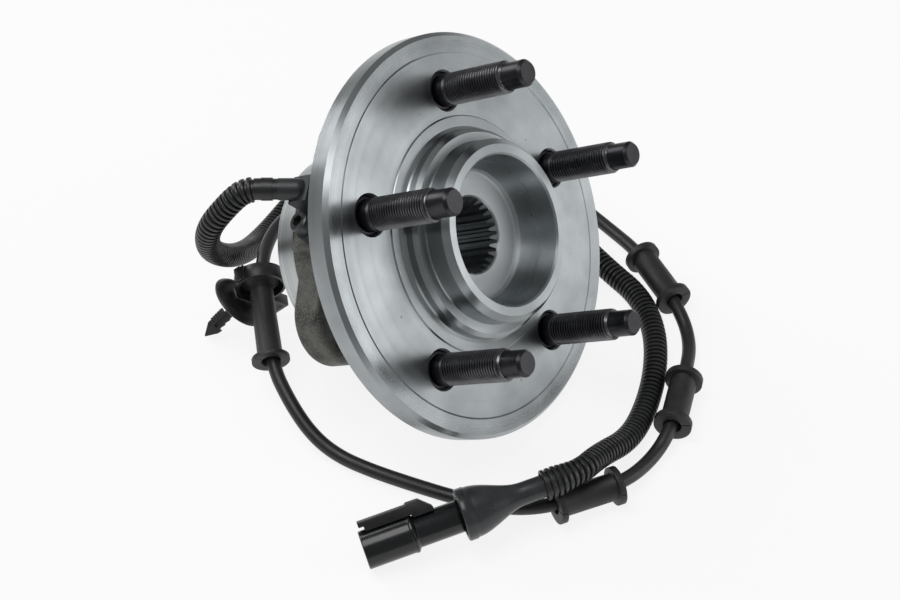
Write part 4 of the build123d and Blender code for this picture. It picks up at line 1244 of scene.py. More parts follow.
@dataclass
class WheelStud:
    """Pressed wheel stud with a rolled thread and a plain dog point (mm)."""

    pcd: float = 114.3
    start: float = -8.2
    count: int = 5
    head_r: float = 9.75
    head_t: float = 4.0
    flange_t: float = 10.0
    knurl_r: float = 7.58
    knurl_top: float = -1.7
    major_r: float = 6.35
    minor_r: float = 5.58
    pitch: float = 1.27
    thread_from: float = 4.2
    thread_to: float = 33.2
    root_sink: float = 0.15
    run_in: float = 1.2
    run_out: float = 0.75
    point_r: float = 5.2
    reach: float = 42.5
    point_chamfer: float = 1.2
    steps: int = 40

    def shank(self) -> bpy.types.Object:
        """Turn the head, knurled part, core and dog point.

        Returns:
            The shank, in the work frame.
        """
        chamfer = self.point_chamfer
        shank = lathe(
            "stud shank",
            [
                (0.0, -self.flange_t - self.head_t),
                (self.head_r - 0.8, -self.flange_t - self.head_t),
                (self.head_r, -self.flange_t - self.head_t + 0.8),
                (self.head_r, -self.flange_t),
                (self.knurl_r, -self.flange_t),
                (self.knurl_r, self.knurl_top),
                (self.knurl_r - 0.4, self.knurl_top + 0.3),
                (self.major_r, self.knurl_top + 0.5),
                (self.major_r, self.thread_from - 0.5),
                (self.minor_r + 0.05, self.thread_from + 0.3),
                (self.minor_r - 0.1, self.thread_from + 1.0),
                (self.minor_r - 0.1, self.thread_to - 0.4),
                (self.point_r, self.thread_to + 0.4),
                (self.point_r, self.reach - chamfer),
                (self.point_r - chamfer * 0.55, self.reach - chamfer * 0.3),
                (self.point_r - chamfer * 0.85, self.reach),
                (0.0, self.reach),
            ],
            self.steps,
        )
        shade(shank, 30.0)
        return shank

    def thread(self) -> bpy.types.Object:
        """Sweep the thread's tooth up a screw and taper both of its ends.

        Returns:
            The thread, in the work frame.
        """
        p = self.pitch
        tooth = [
            (self.minor_r, 0.0),
            (self.minor_r, 0.14 * p),
            (self.major_r, 0.46 * p),
            (self.major_r, 0.68 * p),
            (self.minor_r, p),
        ]
        corners = [Vector((r, 0.0, h + self.thread_from - p)) * MM for r, h in tooth]
        thread = draw_edge("stud thread", corners)
        bpy.ops.object.mode_set(mode="OBJECT")
        turns = int((self.thread_to - self.thread_from) / p) + 2
        modify(
            thread,
            "SCREW",
            axis="Z",
            angle=2 * math.pi,
            screw_offset=p * MM,
            iterations=turns,
            steps=self.steps,
            render_steps=self.steps,
            use_normal_calculate=True,
            use_merge_vertices=True,
            merge_threshold=TOUCH,
        )
        for vertex in thread.data.vertices:
            self.taper(vertex)
        shade(thread, 20.0)
        return thread

    def taper(self, vertex: bpy.types.MeshVertex) -> None:
        """Keep one thread vertex under the chamfers at the thread's two ends.

        Args:
            vertex: Vertex of the thread's mesh.
        """
        height = vertex.co.z / MM
        root = self.minor_r - self.root_sink
        low = root + max(0.0, height - self.thread_from + 0.5) * self.run_in
        high = self.point_r + max(0.0, self.thread_to + 0.2 - height) * self.run_out
        limit = max(root, min(self.major_r, low, high)) * MM
        reach = math.hypot(vertex.co.x, vertex.co.y)
        if reach > limit:
            vertex.co.x *= limit / reach
            vertex.co.y *= limit / reach
        vertex.co.z = min(vertex.co.z, (self.thread_to + 0.2) * MM)

    def build(
        self, finish: bpy.types.Material, thread_glint_finish: bpy.types.Material
    ) -> bpy.types.Object:
        """Model one stud, copy it to each hole and put the set in its place.

        Args:
            finish: Material of the shank.
            thread_glint_finish: Material of the rolled thread.

        Returns:
            The set of studs.
        """
        shank = self.shank()
        shank.data.materials.append(finish)
        thread = self.thread()
        # painted glint: the thread wears a lighter copy of the stud's black oxide
        thread.data.materials.append(thread_glint_finish)
        stud = join([shank, thread])
        shift_piece(stud, self.pcd / 2, 0.0, 0.0)
        turn_piece(stud, self.start)
        studs = [stud]
        for i in range(1, self.count):
            studs.append(copy_turned(stud, f"stud {i}", 360 / self.count * i))
        piece = join(studs)
        piece.name = "wheel_studs_threaded"
        place(piece, HUB.matrix())
        return settle(piece, finish, Body.ROTOR, ["wheel_studs"])


# --------------------------------------------------------------------------
# Harness
# --------------------------------------------------------------------------

ROUTE: tuple[Point, ...] = (
    (-35.42, 68.88, 90.39),
    (-38.20, 73.77, 90.39),
    (-42.6, 78.3, 85.8),
    (-48.6, 87.7, 70.8),
    (-40.9, 94.2, 49.3),
    (-23.7, 95.5, 30.9),
    (5.8, 105.3, 9.4),
    (42.8, 107.2, 9.0),
    (83.0, 108.0, 5.4),
    (107.0, 84.0, 5.2),
    (117.0, 48.0, 3.4),
    (109.0, 8.0, 3.0),
    (97.0, -22.2, 3.0),
    (84.3, -42.7, 8.0),
    (65.2, -68.7, 8.0),
    (52.1, -82.2, 3.0),
    (28.4, -89.7, 8.0),
    (0.3, -96.7, 8.0),
    (-14.7, -95.4, 3.0),
    (-35.5, -91.5, 8.0),
    (-58.6, -73.4, 8.4),
    (-64.6, -57.0, 3.0),
    (-69.2, -39.2, 3.0),
    (-71.9, -22.1, 3.0),
    (-74.3, -1.8, 3.0),
    (-75.0, 14.0, 3.8),
    (-73.2, 27.0, 7.5),
    (-67.5, 40.5, 13.5),
    (-57.5, 55.5, 18.8),
    (-25.3, 82.2, 29.4),
    (-1.2, 92.3, 28.6),
    (21.6, 94.2, 22.9),
    (38.0, 96.0, 14.5),
    (66.0, 86.0, 6.0),
    (90.0, 60.0, 5.4),
    (94.0, 22.0, 5.2),
    (84.0, -8.0, 5.2),
    (70.5, -35.1, 5.2),
    (63.5, -52.4, 5.2),
    (48.6, -66.9, 5.2),
    (28.1, -77.0, 5.2),
    (6.2, -82.7, 5.2),
    (-13.8, -84.5, 8.0),
    (-33.6, -80.1, 16.2),
    (-49.6, -79.3, 22.2),
    (-63.0, -66.9, 19.2),
)


def route_point(i: int) -> Vector:
    """Return one point of the harness route in metres."""
    return Vector(ROUTE[i]) * MM


def run_middle(i: int) -> Vector:
    """Return the middle of the run from route point i to the next."""
    return (route_point(i) + route_point(i + 1)) / 2


def run_seat(i: int, margin: float) -> Seat:
    """Return the frame square to a run, a margin in mm past its first point.

    Args:
        i: Number of the run's first point.
        margin: Distance past that point in millimetres.

    Returns:
        The frame, Z along the run.
    """
    along = (route_point(i + 1) - route_point(i)).normalized()
    side = along.cross(Vector((0.0, 0.0, 1.0))).normalized()
    return Seat(route_point(i) + along * margin * MM, side, along)


def run_length(i: int) -> float:
    """Return the length of a run in millimetres."""
    return (route_point(i + 1) - route_point(i)).length / MM


class CentreLine:
    """Points along the cable's own spline, with lengths and steady frames."""

    def __init__(self, curve: bpy.types.Object) -> None:
        """Read the points of a curve object that has no bevel.

        Args:
            curve: The curve, whose evaluated line is followed.
        """
        graph = bpy.context.evaluated_depsgraph_get()
        mesh = bpy.data.meshes.new_from_object(curve.evaluated_get(graph))
        self.points = [v.co.copy() for v in mesh.vertices]
        bpy.data.meshes.remove(mesh)
        self.lengths = [0.0]
        for before, after in zip(self.points, self.points[1:]):
            self.lengths.append(self.lengths[-1] + (after - before).length)
        self.sides = self._steady_sides()

    def _tangent(self, i: int) -> Vector:
        """Return the direction of the line at one of its points.

        Args:
            i: Number of the point.

        Returns:
            A unit vector.
        """
        low = max(0, i - 1)
        high = min(len(self.points) - 1, i + 1)
        return (self.points[high] - self.points[low]).normalized()

    def _steady_sides(self) -> list[Vector]:
        """Carry a side vector along the line without twist.

        Returns:
            One side vector for each point.
        """
        tangent = self._tangent(0)
        side = tangent.cross(Vector((0.0, 0.0, 1.0))).normalized()
        sides = [side]
        for i in range(1, len(self.points)):
            after = self._tangent(i)
            turn = tangent.rotation_difference(after)
            side = (turn @ side).normalized()
            side = (side - after * side.dot(after)).normalized()
            sides.append(side)
            tangent = after
        return sides

    def nearest(self, target: Vector) -> float:
        """Return the length along the line at the point nearest a target."""
        best = min(range(len(self.points)), key=lambda i: (self.points[i] - target).length)
        return self.lengths[best]

    def at(self, length: float) -> Seat:
        """Return the frame of the line at a length in metres.

        Args:
            length: Length along the line in metres.

        Returns:
            The frame, Z along the line.
        """
        i = 0
        while i < len(self.lengths) - 2 and self.lengths[i + 1] < length:
            i += 1
        span = max(1e-9, self.lengths[i + 1] - self.lengths[i])
        share = (length - self.lengths[i]) / span
        point = self.points[i].lerp(self.points[i + 1], share)
        tangent = self._tangent(i).lerp(self._tangent(i + 1), share).normalized()
        side = self.sides[i].lerp(self.sides[i + 1], share)
        return Seat(point, side, tangent)


@dataclass
class Cable:
    """Round jacketed cable from the sensor to the connector (mm)."""

    radius: float = 2.85
    length_mm: float = 1109.4
    resolution: int = 24

    def curve(self, name: str, radius: float) -> bpy.types.Object:
        """Lay a smooth spline through the route's control points.

        Args:
            name: Name of the new curve.
            radius: Radius in millimetres, or nought for a bare line.

        Returns:
            The curve object.
        """
        data = bpy.data.curves.new(name, "CURVE")
        data.dimensions = "3D"
        spline = data.splines.new("NURBS")
        spline.points.add(len(ROUTE) - 1)
        for point, corner in zip(spline.points, ROUTE):
            point.co = (*(c * MM for c in corner), 1.0)
        spline.order_u = 3
        spline.use_endpoint_u = True
        spline.resolution_u = self.resolution
        data.resolution_u = self.resolution
        data.bevel_depth = radius * MM
        data.bevel_resolution = 6
        data.use_fill_caps = radius > 0
        piece = bpy.data.objects.new(name, data)
        bpy.context.scene.collection.objects.link(piece)
        return piece

    def centre_line(self) -> CentreLine:
        """Return the points that everything on the cable follows.

        Returns:
            The line, with its frames.
        """
        bare = self.curve("bare route", 0.0)
        bpy.context.view_layer.update()
        line = CentreLine(bare)
        bpy.data.objects.remove(bare)
        return line

    def build(self, finish: bpy.types.Material) -> bpy.types.Object:
        """Make the cable and tie it to the stator.

        Args:
            finish: Material that it wears.

        Returns:
            The finished piece.
        """
        cable = self.curve("cable", self.radius)
        return settle(
            cable,
            finish,
            Body.STATOR,
            ["cable_sensor_end", "cable_middle", "cable_connector_end"],
        )


@dataclass
class Conduit:
    """Slit corrugated tube over a stretch of the cable (mm)."""

    name: str
    node: str
    start: Vector
    end: Vector
    slit_from: float = 305.0
    crest_r: float = 5.0
    root_r: float = 3.95
    pitch: float = 2.2
    wall: float = 0.45
    slit_w: float = 0.7
    sectors: int = 28
    flare: float = 0.0
    flare_l: float = 14.0

    def rings(self, low: float, high: float) -> list[tuple[float, float]]:
        """Return (length, radius) of each ring between two lengths in metres.

        Args:
            low: Length in metres at which the tube starts.
            high: Length in metres at which it ends.

        Returns:
            Lengths in metres and radii in millimetres, in order.
        """
        count = max(4, round((high - low) / (self.pitch * MM)))
        step = (high - low) / count
        rings = []
        for i in range(count):
            foot = low + step * i
            for share, radius in (
                (0.0, self.root_r),
                (0.26, self.root_r),
                (0.34, self.crest_r - 0.15),
                (0.42, self.crest_r),
                (0.84, self.crest_r),
                (0.92, self.crest_r - 0.15),
            ):
                length = foot + step * share
                rings.append((length, radius + self.widening(high - length)))
        rings.append((high, self.root_r + self.flare))
        return rings

    def widening(self, left: float) -> float:
        """Return the added radius at a length in metres before the end."""
        share = max(0.0, 1 - left / (self.flare_l * MM))
        return self.flare * min(1.0, 1.6 * share)

    def build(self, line: CentreLine, finish: bpy.types.Material) -> bpy.types.Object:
        """Sweep the corrugated wall along the cable and tie it to the stator.

        Args:
            line: Centre line of the cable.
            finish: Material that it wears.

        Returns:
            The finished piece.
        """
        rings = self.rings(line.nearest(self.start), line.nearest(self.end))
        open_angle = self.slit_w / self.crest_r
        first = math.radians(self.slit_from) + open_angle / 2
        sweep_angle = 2 * math.pi - open_angle
        points: list[Vector] = []
        for length, radius in rings:
            seat = line.at(length)
            across = seat.z_dir.cross(seat.x_dir).normalized()
            for k in range(self.sectors + 1):
                angle = first + sweep_angle * k / self.sectors
                out = seat.x_dir * math.cos(angle) + across * math.sin(angle)
                points.append(seat.origin + out * radius * MM)
        width = self.sectors + 1
        faces = []
        for i in range(len(rings) - 1):
            for k in range(self.sectors):
                a = i * width + k
                faces.append((a, a + 1, a + width + 1, a + width))
        mesh = bpy.data.meshes.new(self.name)
        mesh.from_pydata([tuple(p) for p in points], [], faces)
        mesh.update()
        piece = bpy.data.objects.new(self.name, mesh)
        bpy.context.scene.collection.objects.link(piece)
        modify(piece, "SOLIDIFY", thickness=self.wall * MM, offset=-1.0)
        shade(piece, 38.0)
        return settle(piece, finish, Body.STATOR, [self.node])


@dataclass
class Grommet:
    """Split rubber spool on a straight run of the cable (mm)."""

    name: str
    node: str
    run: int
    margin: float = 1.0
    flange_r: float = 7.7
    flange_t: float = 2.6
    sleeve_r: float = 5.5
    bore_r: float = 3.0
    mouth_r: float = 3.7
    mouth_l: float = 1.6
    split_half: float = 0.16
    split_angle: float = 200.0

    def outline(self) -> list[tuple[float, float]]:
        """Return the half-section of the spool.

        Returns:
            (radius, height) corners in millimetres.
        """
        length = run_length(self.run) - 2 * self.margin
        t = self.flange_t
        return [
            (self.mouth_r, 0.0),
            (self.flange_r, 0.0),
            (self.flange_r, t),
            (self.sleeve_r, t),
            (self.sleeve_r, length - t),
            (self.flange_r, length - t),
            (self.flange_r, length),
            (self.mouth_r, length),
            (self.bore_r, length - self.mouth_l),
            (self.bore_r, self.mouth_l),
        ]

    def build(self, finish: bpy.types.Material) -> bpy.types.Object:
        """Turn the spool, split it and set it on its run.

        Args:
            finish: Material that it wears.

        Returns:
            The finished piece.
        """
        spool = lathe(self.name, self.outline(), 56, closed=True)
        length = run_length(self.run) - 2 * self.margin
        for low, high in ((-1.0, self.flange_t - 0.4), (length - self.flange_t + 0.4, length + 1)):
            slit = block("split", (0, -self.split_half, low), (12, self.split_half, high))
            cut(spool, turn_piece(slit, self.split_angle))
        soften(spool, 0.35, 2)
        shade(spool, 35.0)
        place(spool, run_seat(self.run, self.margin).matrix())
        return settle(spool, finish, Body.STATOR, [self.node])


@dataclass
class ClipGrommet:
    """Rubber sleeve with a drum, held in the band of the panel clip (mm)."""

    run: int = 28
    margin: float = 1.0
    flange_r: float = 7.8
    flange_t: float = 1.6
    sleeve_r: float = 5.2
    drum_r: float = 9.05
    drum_l: float = 3.5
    neck_l: float = 3.8
    bore_r: float = 3.0
    mouth_r: float = 4.0
    mouth_l: float = 3.0
    split_half: float = 0.12
    split_angle: float = 215.0

    def build(self, finish: bpy.types.Material) -> bpy.types.Object:
        """Turn the sleeve, split its flange and set it on its run.

        Args:
            finish: Material that it wears.

        Returns:
            The finished piece.
        """
        length = run_length(self.run) - 2 * self.margin
        drum = length - self.drum_l
        body = lathe(
            "clip_sleeve",
            [
                (self.mouth_r, 0.0),
                (self.flange_r, 0.0),
                (self.flange_r, self.flange_t),
                (self.sleeve_r + 0.5, self.flange_t),
                (self.sleeve_r, self.flange_t + 0.8),
                (self.sleeve_r - 0.25, length * 0.5),
                (self.sleeve_r - 0.3, drum - self.neck_l),
                (self.sleeve_r + 0.3, drum - self.neck_l * 0.62),
                (self.sleeve_r + 1.6, drum - self.neck_l * 0.3),
                (self.drum_r - 0.5, drum),
                (self.drum_r, drum + 0.5),
                (self.drum_r, length - 0.6),
                (self.drum_r - 0.6, length),
                (self.mouth_r, length),
                (self.bore_r, length - self.mouth_l),
                (self.bore_r, self.mouth_l),
            ],
            64,
            closed=True,
        )
        half = self.split_half
        slit = block("split", (0, -half, -1), (9, half, self.flange_t + 0.5))
        cut(body, turn_piece(slit, self.split_angle))
        soften(body, 0.25, 2)
        shade(body, 35.0)
        place(body, run_seat(self.run, self.margin).matrix())
        return settle(body, finish, Body.STATOR, ["clip_grommet"])


@dataclass
class PanelClip:
    """Moulded clip: band with its latch and stay foot, dish and barbed pin (mm)."""

    run: int = 28
    margin: float = 1.0
    band_in: float = 9.3
    band_out: float = 10.5
    band_w: float = 6.4
    latch_t: float = 1.9
    foot_reach: float = 20.5
    foot_t: float = 1.8
    foot_from: float = 4.8
    foot_down: float = 12.8
    dish_r: float = 12.8
    dish_neck: float = 0.5
    dish_sink: float = 2.6
    dish_t: float = 1.4
    dish_steps: int = 10
    pin_l: float = 23.6
    pin_half: float = 2.2
    pin_t: float = 3.0
    slot_from: float = 6.0
    barb_reach: float = 3.6
    barb_pitch: float = 1.45
    barb_from: float = 10.4
    barbs: int = 5
    head_l: float = 6.2
    head_half: float = 3.3
    pin_flat: Point = (0.6, 0.35, -0.7)
    drop: float = 45.0
    lean: float = 12.6

    def seats(self) -> tuple[Seat, Seat]:
        """Return the frames of the band, X towards the dish, and of the pin, Z out.

        Returns:
            The two frames.
        """
        low = run_seat(self.run, self.margin)
        length = run_length(self.run) - 2 * self.margin
        along = low.z_dir.normalized()
        middle = low.along((length - self.band_w / 2) * MM).origin
        side = low.x_dir.normalized()
        down = along.cross(side)
        drop = math.radians(self.drop)
        lean = math.radians(self.lean)
        square = down * math.sin(drop) - side * math.cos(drop)
        pin = square * math.cos(lean) - along * math.sin(lean)
        return Seat(middle, square, along), Seat(middle, along.cross(pin), pin)

    def band(self) -> bpy.types.Object:
        """Turn the band and add its latch, ribbed, and its stay foot.

        Returns:
            The band, in the frame of the drum.
        """
        half = self.band_w / 2
        ring = lathe(
            "clip band",
            [
                (self.band_in, -half),
                (self.band_out, -half),
                (self.band_out, half),
                (self.band_in, half),
            ],
            72,
            closed=True,
        )
        latch = block(
            "latch",
            (-2.8, self.band_in + 0.3, -half + 0.1),
            (2.2, self.band_out + self.latch_t, half - 0.1),
        )
        for low, high in (((-4, 10.6, -4), (1.4, 11.1, 4)), ((-4, 11.7, -4), (-1.2, 14, 4))):
            cut(latch, block("rib gap", low, high))
        foot = prism(
            "stay foot",
            [
                (self.foot_from, -self.band_in + 0.4),
                (self.foot_from, -self.foot_reach),
                (self.foot_down, -self.foot_reach),
                (self.foot_down, -self.foot_reach + self.foot_t),
                (self.foot_from + self.foot_t, -self.foot_reach + self.foot_t),
                (self.foot_from + self.foot_t, -self.band_in + 1.2),
            ],
            -2.5,
            2.5,
        )
        return join([ring, latch, foot])

    def dish(self) -> bpy.types.Object:
        """Turn the thin dish with the block that carries it.

        Returns:
            The dish, in the frame of the pin.
        """
        at = self.band_out + self.dish_neck
        under = []
        over = []
        for i in range(self.dish_steps + 1):
            share = i / self.dish_steps
            radius = self.dish_r * (0.3 + 0.7 * share)
            sink = self.dish_sink * (0.3 * share + 0.7 * share**7)
            under.append((radius, at + sink))
            over.append((radius - 0.5 * share**4, at + sink + self.dish_t * (1 - 0.5 * share)))
        dish = lathe(
            "dish", [(0.0, at), *under, *reversed(over), (0.0, at + self.dish_t)], 72
        )
        web = block(
            "clip web",
            (-5.4, -(self.band_w - 1.0) / 2, self.band_out - 1.0),
            (5.4, (self.band_w - 1.0) / 2, at + 0.6),
        )
        return join([dish, web])

    def pin(self) -> bpy.types.Object:
        """Cut the flat pin with its barbs, its slots and an arrow head.

        Returns:
            The pin, along local X.
        """
        half = self.pin_half
        spine = half - 0.7
        head = self.pin_l - self.head_l
        upper = [(-0.6, spine)]
        lower = []
        for i in range(self.barbs):
            at = self.barb_from + self.barb_pitch * i
            reach = self.barb_reach
            upper += [(at - 0.2, spine), (at - 0.6, reach), (at - 0.25, reach), (at + 0.3, spine)]
        for at in (self.barb_from + 0.6, self.barb_from + 4.0):
            lower += [(at, -half), (at - 0.5, -half - 0.4), (at + 0.9, -half)]
        tip = [
            (head, spine),
            (head - 0.1, self.head_half),
            (head + 0.8, self.head_half - 0.2),
            (self.pin_l, 0.25),
            (self.pin_l, -0.25),
            (head + 0.8, -self.head_half + 0.2),
            (head - 0.1, -self.head_half),
            (head, -half),
        ]
        side = self.pin_t / 2
        stem = prism("clip pin", [*upper, *tip, *reversed(lower), (-0.6, -half)], -side, side)
        for low, high in ((0.7, 2.0), (-2.0, -0.7)):
            slot = block("pin slot", (self.slot_from, -0.9, low), (head - 0.6, 0.5, high))
            cut(stem, slot)
        return stem

    def build(self, finish: bpy.types.Material) -> bpy.types.Object:
        """Mould the clip and snap it round the sleeve's drum.

        Args:
            finish: Material that it wears.

        Returns:
            The finished piece.
        """
        band_seat, pin_seat = self.seats()
        band = self.band()
        soften(band, 0.25, 2)
        place(band, band_seat.matrix())
        dish = self.dish()
        soften(dish, 0.2, 2, 40.0)
        place(dish, pin_seat.matrix())
        pin = self.pin()
        soften(pin, 0.12, 1)
        base = self.band_out + self.dish_neck + self.dish_t
        out = pin_seat.z_dir
        flat = Vector(self.pin_flat)
        flat = (flat - out * flat.dot(out)).normalized()
        pin_frame = Seat(pin_seat.along(base * MM).origin, out, flat)
        place(pin, pin_frame.matrix())
        clip = join([band, dish, pin])
        clip.name = "panel_clip"
        shade(clip, 32.0)
        return settle(clip, finish, Body.STATOR, ["fir_tree_clip"])


BOOT_DIR = (route_point(-1) - route_point(-2)).normalized()
BOOT_OVERLAP = 10.0 * MM  # the boot's tail swallows this much of the cable
BOOT_SEAT = Seat(route_point(-1) - BOOT_DIR * BOOT_OVERLAP, Vector((0.0, 0.0, 1.0)), BOOT_DIR)


@dataclass
class Boot:
    """Bell-shaped rubber boot between the conduit and the connector (mm)."""

    tail_r: float = 4.4
    tail_l: float = 14.0
    bell_r: float = 9.9
    bell_l: float = 21.0
    lip_r: float = 10.25
    lip_l: float = 4.0
    mouth_r: float = 8.7
    mouth_depth: float = 7.5
    hold_r: float = 6.35
    cable_r: float = 3.0
    rear_at: float = 27.0
    bell_steps: int = 14

    def bell(self) -> list[tuple[float, float]]:
        """Return the swelling outside of the boot from tail to lip.

        Returns:
            (radius, height) corners in millimetres.
        """
        samples = []
        for i in range(self.bell_steps + 1):
            t = i / self.bell_steps
            ease = t * t * (3 - 2 * t)
            samples.append(
                (
                    self.tail_r + (self.bell_r - self.tail_r) * ease,
                    self.tail_l + self.bell_l * t,
                )
            )
        return samples

    def build(self, finish: bpy.types.Material) -> bpy.types.Object:
        """Turn the boot and set it over the connector's end.

        Args:
            finish: Material that it wears.

        Returns:
            The finished piece.
        """
        end = self.tail_l + self.bell_l + self.lip_l
        boot = lathe(
            "boot",
            [
                (self.cable_r, 0.0),
                (self.tail_r, 0.0),
                *self.bell(),
                (self.lip_r, self.tail_l + self.bell_l + 0.5),
                (self.lip_r, end - 0.5),
                (self.lip_r - 0.5, end),
                (self.mouth_r + 0.3, end),
                (self.mouth_r, end - 0.4),
                (self.mouth_r - 0.4, end - self.mouth_depth + 1.0),
                (self.hold_r, end - self.mouth_depth),
                (self.hold_r, self.rear_at),
                (self.cable_r, self.rear_at - 2),
            ],
            72,
            closed=True,
        )
        soften(boot, 0.25, 2, 40.0)
        shade(boot, 40.0)
        place(boot, BOOT_SEAT.matrix())
        return settle(boot, finish, Body.STATOR, ["connector_boot"])


@dataclass
class Connector:
    """Round two-way connector: stepped housing with an open socket (mm)."""

    rear_at: float = 27.0
    rear_r: float = 6.25
    rear_l: float = 31.0
    front_r: float = 7.5
    front_l: float = 19.9
    ridge: float = 0.25
    cavity_r: float = 6.1
    inner_r: float = 5.5
    mouth_l: float = 6.0
    cavity_l: float = 14.0

    def build(self, finish: bpy.types.Material) -> bpy.types.Object:
        """Turn the housing and set it in the boot.

        Args:
            finish: Material that it wears.

        Returns:
            The finished piece.
        """
        step = self.rear_at + self.rear_l
        front = step + self.front_l
        housing = lathe(
            "connector_shell",
            [
                (0.0, self.rear_at),
                (self.rear_r, self.rear_at),
                (self.rear_r, step - 1.1),
                (self.front_r + self.ridge, step),
                (self.front_r + self.ridge, step + 1.0),
                (self.front_r, step + 1.3),
                (self.front_r, front - 0.3),
                (self.front_r - 0.3, front),
                (self.cavity_r + 0.25, front),
                (self.cavity_r, front - 0.25),
                (self.cavity_r, front - self.mouth_l),
                (self.inner_r, front - self.mouth_l),
                (self.inner_r, front - self.cavity_l),
                (0.0, front - self.cavity_l),
            ],
            80,
        )
        soften(housing, 0.15, 2, 35.0)
        shade(housing, 35.0)
        place(housing, BOOT_SEAT.matrix())
        return settle(
            housing, finish, Body.STATOR, ["connector_housing"]
        )


@dataclass
class LockLever:
    """Lever of the connector: the CAD shape, trimmed and softened (mm)."""

    angle: float = 48.0
    pad_top: float = 11.5
    front_at: float = 78.0
    notch_l: float = 2.0
    notch_r: float = 8.9
    edge: float = 0.25

    def build(self, finish: bpy.types.Material) -> bpy.types.Object:
        """Copy the lever, lower its pad, open its front and soften it.

        Args:
            finish: Material that it wears.

        Returns:
            The finished piece.
        """
        lever = copy_node("lock_lever", "connector_lock")
        boot = BOOT_SEAT.matrix().to_3x3()
        turn = math.radians(self.angle)
        out = boot.col[0] * math.cos(turn) + boot.col[1] * math.sin(turn)
        seat = Seat(BOOT_SEAT.origin, BOOT_DIR, BOOT_DIR.cross(out))
        front = self.front_at - 1.0
        for low, high in (
            ((0, self.pad_top, -9), (front + 2, self.pad_top + 4, 9)),
            ((front - self.notch_l, 0, -9), (front + 2, self.notch_r, 9)),
        ):
            cut(lever, place(block("trim", low, high), seat.matrix()))
        soften(lever, self.edge, 2)
        shade(lever, 32.0)
        lever.data.materials.clear()
        return settle(lever, finish, Body.STATOR, ["connector_lock"])


# --------------------------------------------------------------------------
# Studio
# --------------------------------------------------------------------------


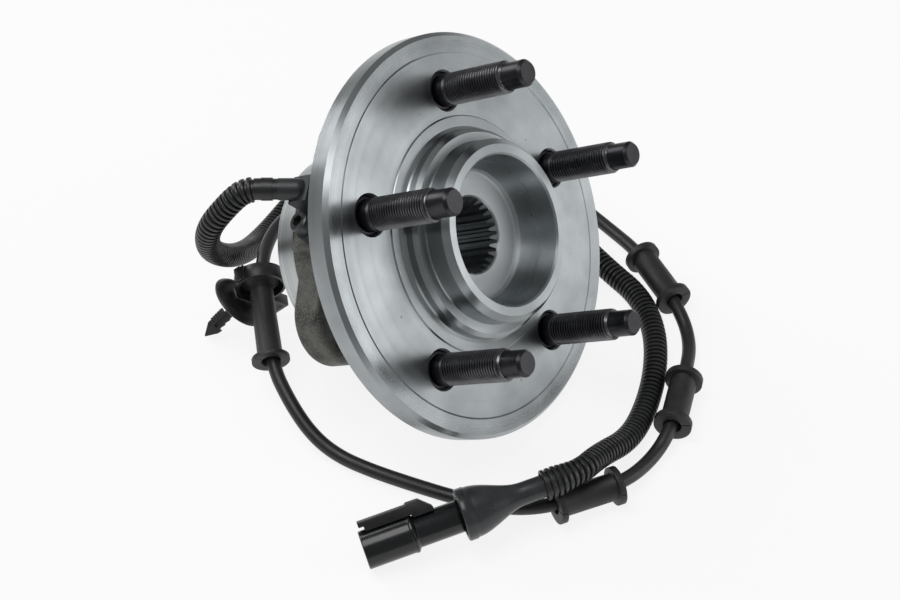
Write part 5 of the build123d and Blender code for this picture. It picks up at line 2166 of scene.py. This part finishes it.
@dataclass
class Studio:
    """Pale floor, soft lamps and the camera."""

    camera_at: Vector = field(default_factory=lambda: Vector((-0.45334, -0.25256, 0.56225)))
    camera_right: Vector = field(default_factory=lambda: Vector((0.494, -0.8694, 0.0)))
    camera_forward: Vector = field(default_factory=lambda: Vector((0.6084, 0.3457, -0.7144)))
    lens_mm: float = 72.71
    sensor_mm: float = 36.0
    bench_r: float = 3.0
    bench_colour: tuple[float, float, float, float] = (0.8, 0.8, 0.8, 1.0)
    bench_white: float = 0.82
    bench_level: float = 1.04
    room_level: float = 0.27
    aim_at: Point = (0.0, 0.0, 0.06)
    lamps: tuple[tuple[str, Point, tuple[float, float], float], ...] = (
        ("key", (-0.3, 0.3, 1.45), (0.9, 0.8), 9.0),
        ("fill", (0.62, -1.3, 0.45), (0.9, 0.8), 4.5),
        ("back", (0.1, 1.2, 0.75), (0.7, 0.6), 5.0),
    )

    def camera(self) -> None:
        """Add the camera at the viewing angle."""
        data = bpy.data.cameras.new("camera")
        data.lens = self.lens_mm
        data.sensor_width = self.sensor_mm
        data.clip_start = 0.01
        camera = bpy.data.objects.new("camera", data)
        bpy.context.scene.collection.objects.link(camera)
        back = -self.camera_forward.normalized()
        right = self.camera_right.normalized()
        up = back.cross(right)
        camera.matrix_world = Matrix(
            (
                (right.x, up.x, back.x, self.camera_at.x),
                (right.y, up.y, back.y, self.camera_at.y),
                (right.z, up.z, back.z, self.camera_at.z),
                (0.0, 0.0, 0.0, 1.0),
            )
        )
        bpy.context.scene.camera = camera

    def lamp(self, name: str, at: Point, size: tuple[float, float], watts: float) -> None:
        """Add a soft rectangular lamp that faces the hub.

        Args:
            name: Name of the lamp.
            at: Place in metres.
            size: Width and height in metres.
            watts: Power.
        """
        data = bpy.data.lights.new(name, "AREA")
        data.shape = "RECTANGLE"
        data.size, data.size_y = size
        data.energy = watts
        lamp = bpy.data.objects.new(name, data)
        bpy.context.scene.collection.objects.link(lamp)
        aim = Vector(self.aim_at) - Vector(at)
        lamp.rotation_euler = aim.to_track_quat("-Z", "Y").to_euler()
        lamp.location = at

    def floor(self) -> None:
        """Add the bench, white to the camera and to reflections."""
        deselect()
        bpy.ops.mesh.primitive_circle_add(vertices=96, radius=self.bench_r, fill_type="NGON")
        floor = bpy.context.object
        floor.name = "bench"
        material, tree = start_material("matt white bench")
        rays = add_node(tree, "LightPath").outputs
        mirrored = add_node(
            tree,
            "Math",
            {0: rays["Is Glossy Ray"], 1: rays["Is Transmission Ray"]},
            operation="MAXIMUM",
        )
        seen = add_node(
            tree, "Math", {0: rays["Is Camera Ray"], 1: mirrored}, operation="MAXIMUM"
        )
        share = add_node(tree, "Math", {0: seen, 1: self.bench_white}, operation="MULTIPLY")
        matt = add_node(tree, "BsdfDiffuse", {"Color": self.bench_colour})
        white = add_node(
            tree, "Emission", {"Color": (1.0, 1.0, 1.0, 1.0), "Strength": self.bench_level}
        )
        mix = add_node(tree, "MixShader", {0: share, 1: matt, 2: white})
        add_node(tree, "OutputMaterial", {"Surface": mix})
        floor.data.materials.append(material)

    def world(self) -> None:
        """Light the room evenly, white where it is seen."""
        world = bpy.data.worlds.new("room")
        bpy.context.scene.world = world
        world.use_nodes = True
        tree = world.node_tree
        tree.nodes.clear()
        rays = add_node(tree, "LightPath").outputs
        strength = add_node(tree, "MapRange", {0: rays["Is Camera Ray"], 3: self.room_level})
        shader = add_node(
            tree, "Background", {"Color": (1.0, 1.0, 1.0, 1.0), "Strength": strength}
        )
        add_node(tree, "OutputWorld", {"Surface": shader})

    def build(self) -> None:
        """Set up everything round the object."""
        self.camera()
        self.floor()
        self.world()
        for name, at, size, watts in self.lamps:
            self.lamp(name, at, size, watts)
        bpy.context.scene.view_settings.view_transform = "Standard"


# --------------------------------------------------------------------------
# Assembly
# --------------------------------------------------------------------------


def main() -> None:
    """Build every piece in order, dress the CAD nodes and light the scene."""
    logging.basicConfig(level=logging.INFO, format="%(name)s: %(message)s")
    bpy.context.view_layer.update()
    finishes = {key: finish.material() for key, finish in FINISHES.items()}

    Studio().build()

    cable_maker = Cable()
    line = cable_maker.centre_line()
    cable = cable_maker.build(finishes["cable"])
    on_cable = [
        Conduit(
            "sensor_corrugated_tube", "sensor_conduit", run_middle(0), run_middle(8)
        ).build(line, finishes["conduit"]),
        Conduit(
            "connector_corrugated_tube",
            "connector_conduit",
            run_middle(34),
            BOOT_SEAT.along(6.0 * MM).origin,
            slit_from=215.0,
            flare=1.05,
        ).build(line, finishes["conduit"]),
    ]
    for i, run in enumerate((13, 16, 19), start=1):
        on_cable.append(Grommet(f"spool_{i}", f"grommet_{i}", run).build(finishes["grommet"]))
    on_cable.append(ClipGrommet().build(finishes["grommet"]))
    on_cable.append(PanelClip().build(finishes["clip"]))
    on_cable.append(Boot().build(finishes["boot"]))
    on_cable.append(Connector().build(finishes["housing"]))
    on_cable.append(LockLever().build(finishes["lock"]))
    on_cable.append(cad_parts["connector_terminals"])
    on_cable.append(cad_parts["lead_sleeve"])

    HubFlange().build(finishes["hub"])
    WheelStud().build(finishes["stud"], finishes["thread"])

    for node, key in (
        ("outer_ring", "ring"),
        ("inner_ring", "ground"),
        ("tone_ring", "tone"),
        ("outboard_slinger", "ground"),
        ("inboard_slinger", "ground"),
        ("outboard_balls", "ball"),
        ("inboard_balls", "ball"),
        ("outboard_cage", "cage"),
        ("inboard_cage", "cage"),
        ("outboard_seal", "seal"),
        ("inboard_seal", "seal"),
        ("sensor_body", "sensor"),
        ("sensor_o_ring", "seal"),
        ("sensor_screw", "screw"),
        ("lead_overmould", "overmould"),
        ("lead_sleeve", "overmould"),
        ("connector_terminals", "terminal"),
    ):
        dress_node(node, finishes[key])


if __name__ == "__main__":
    main()
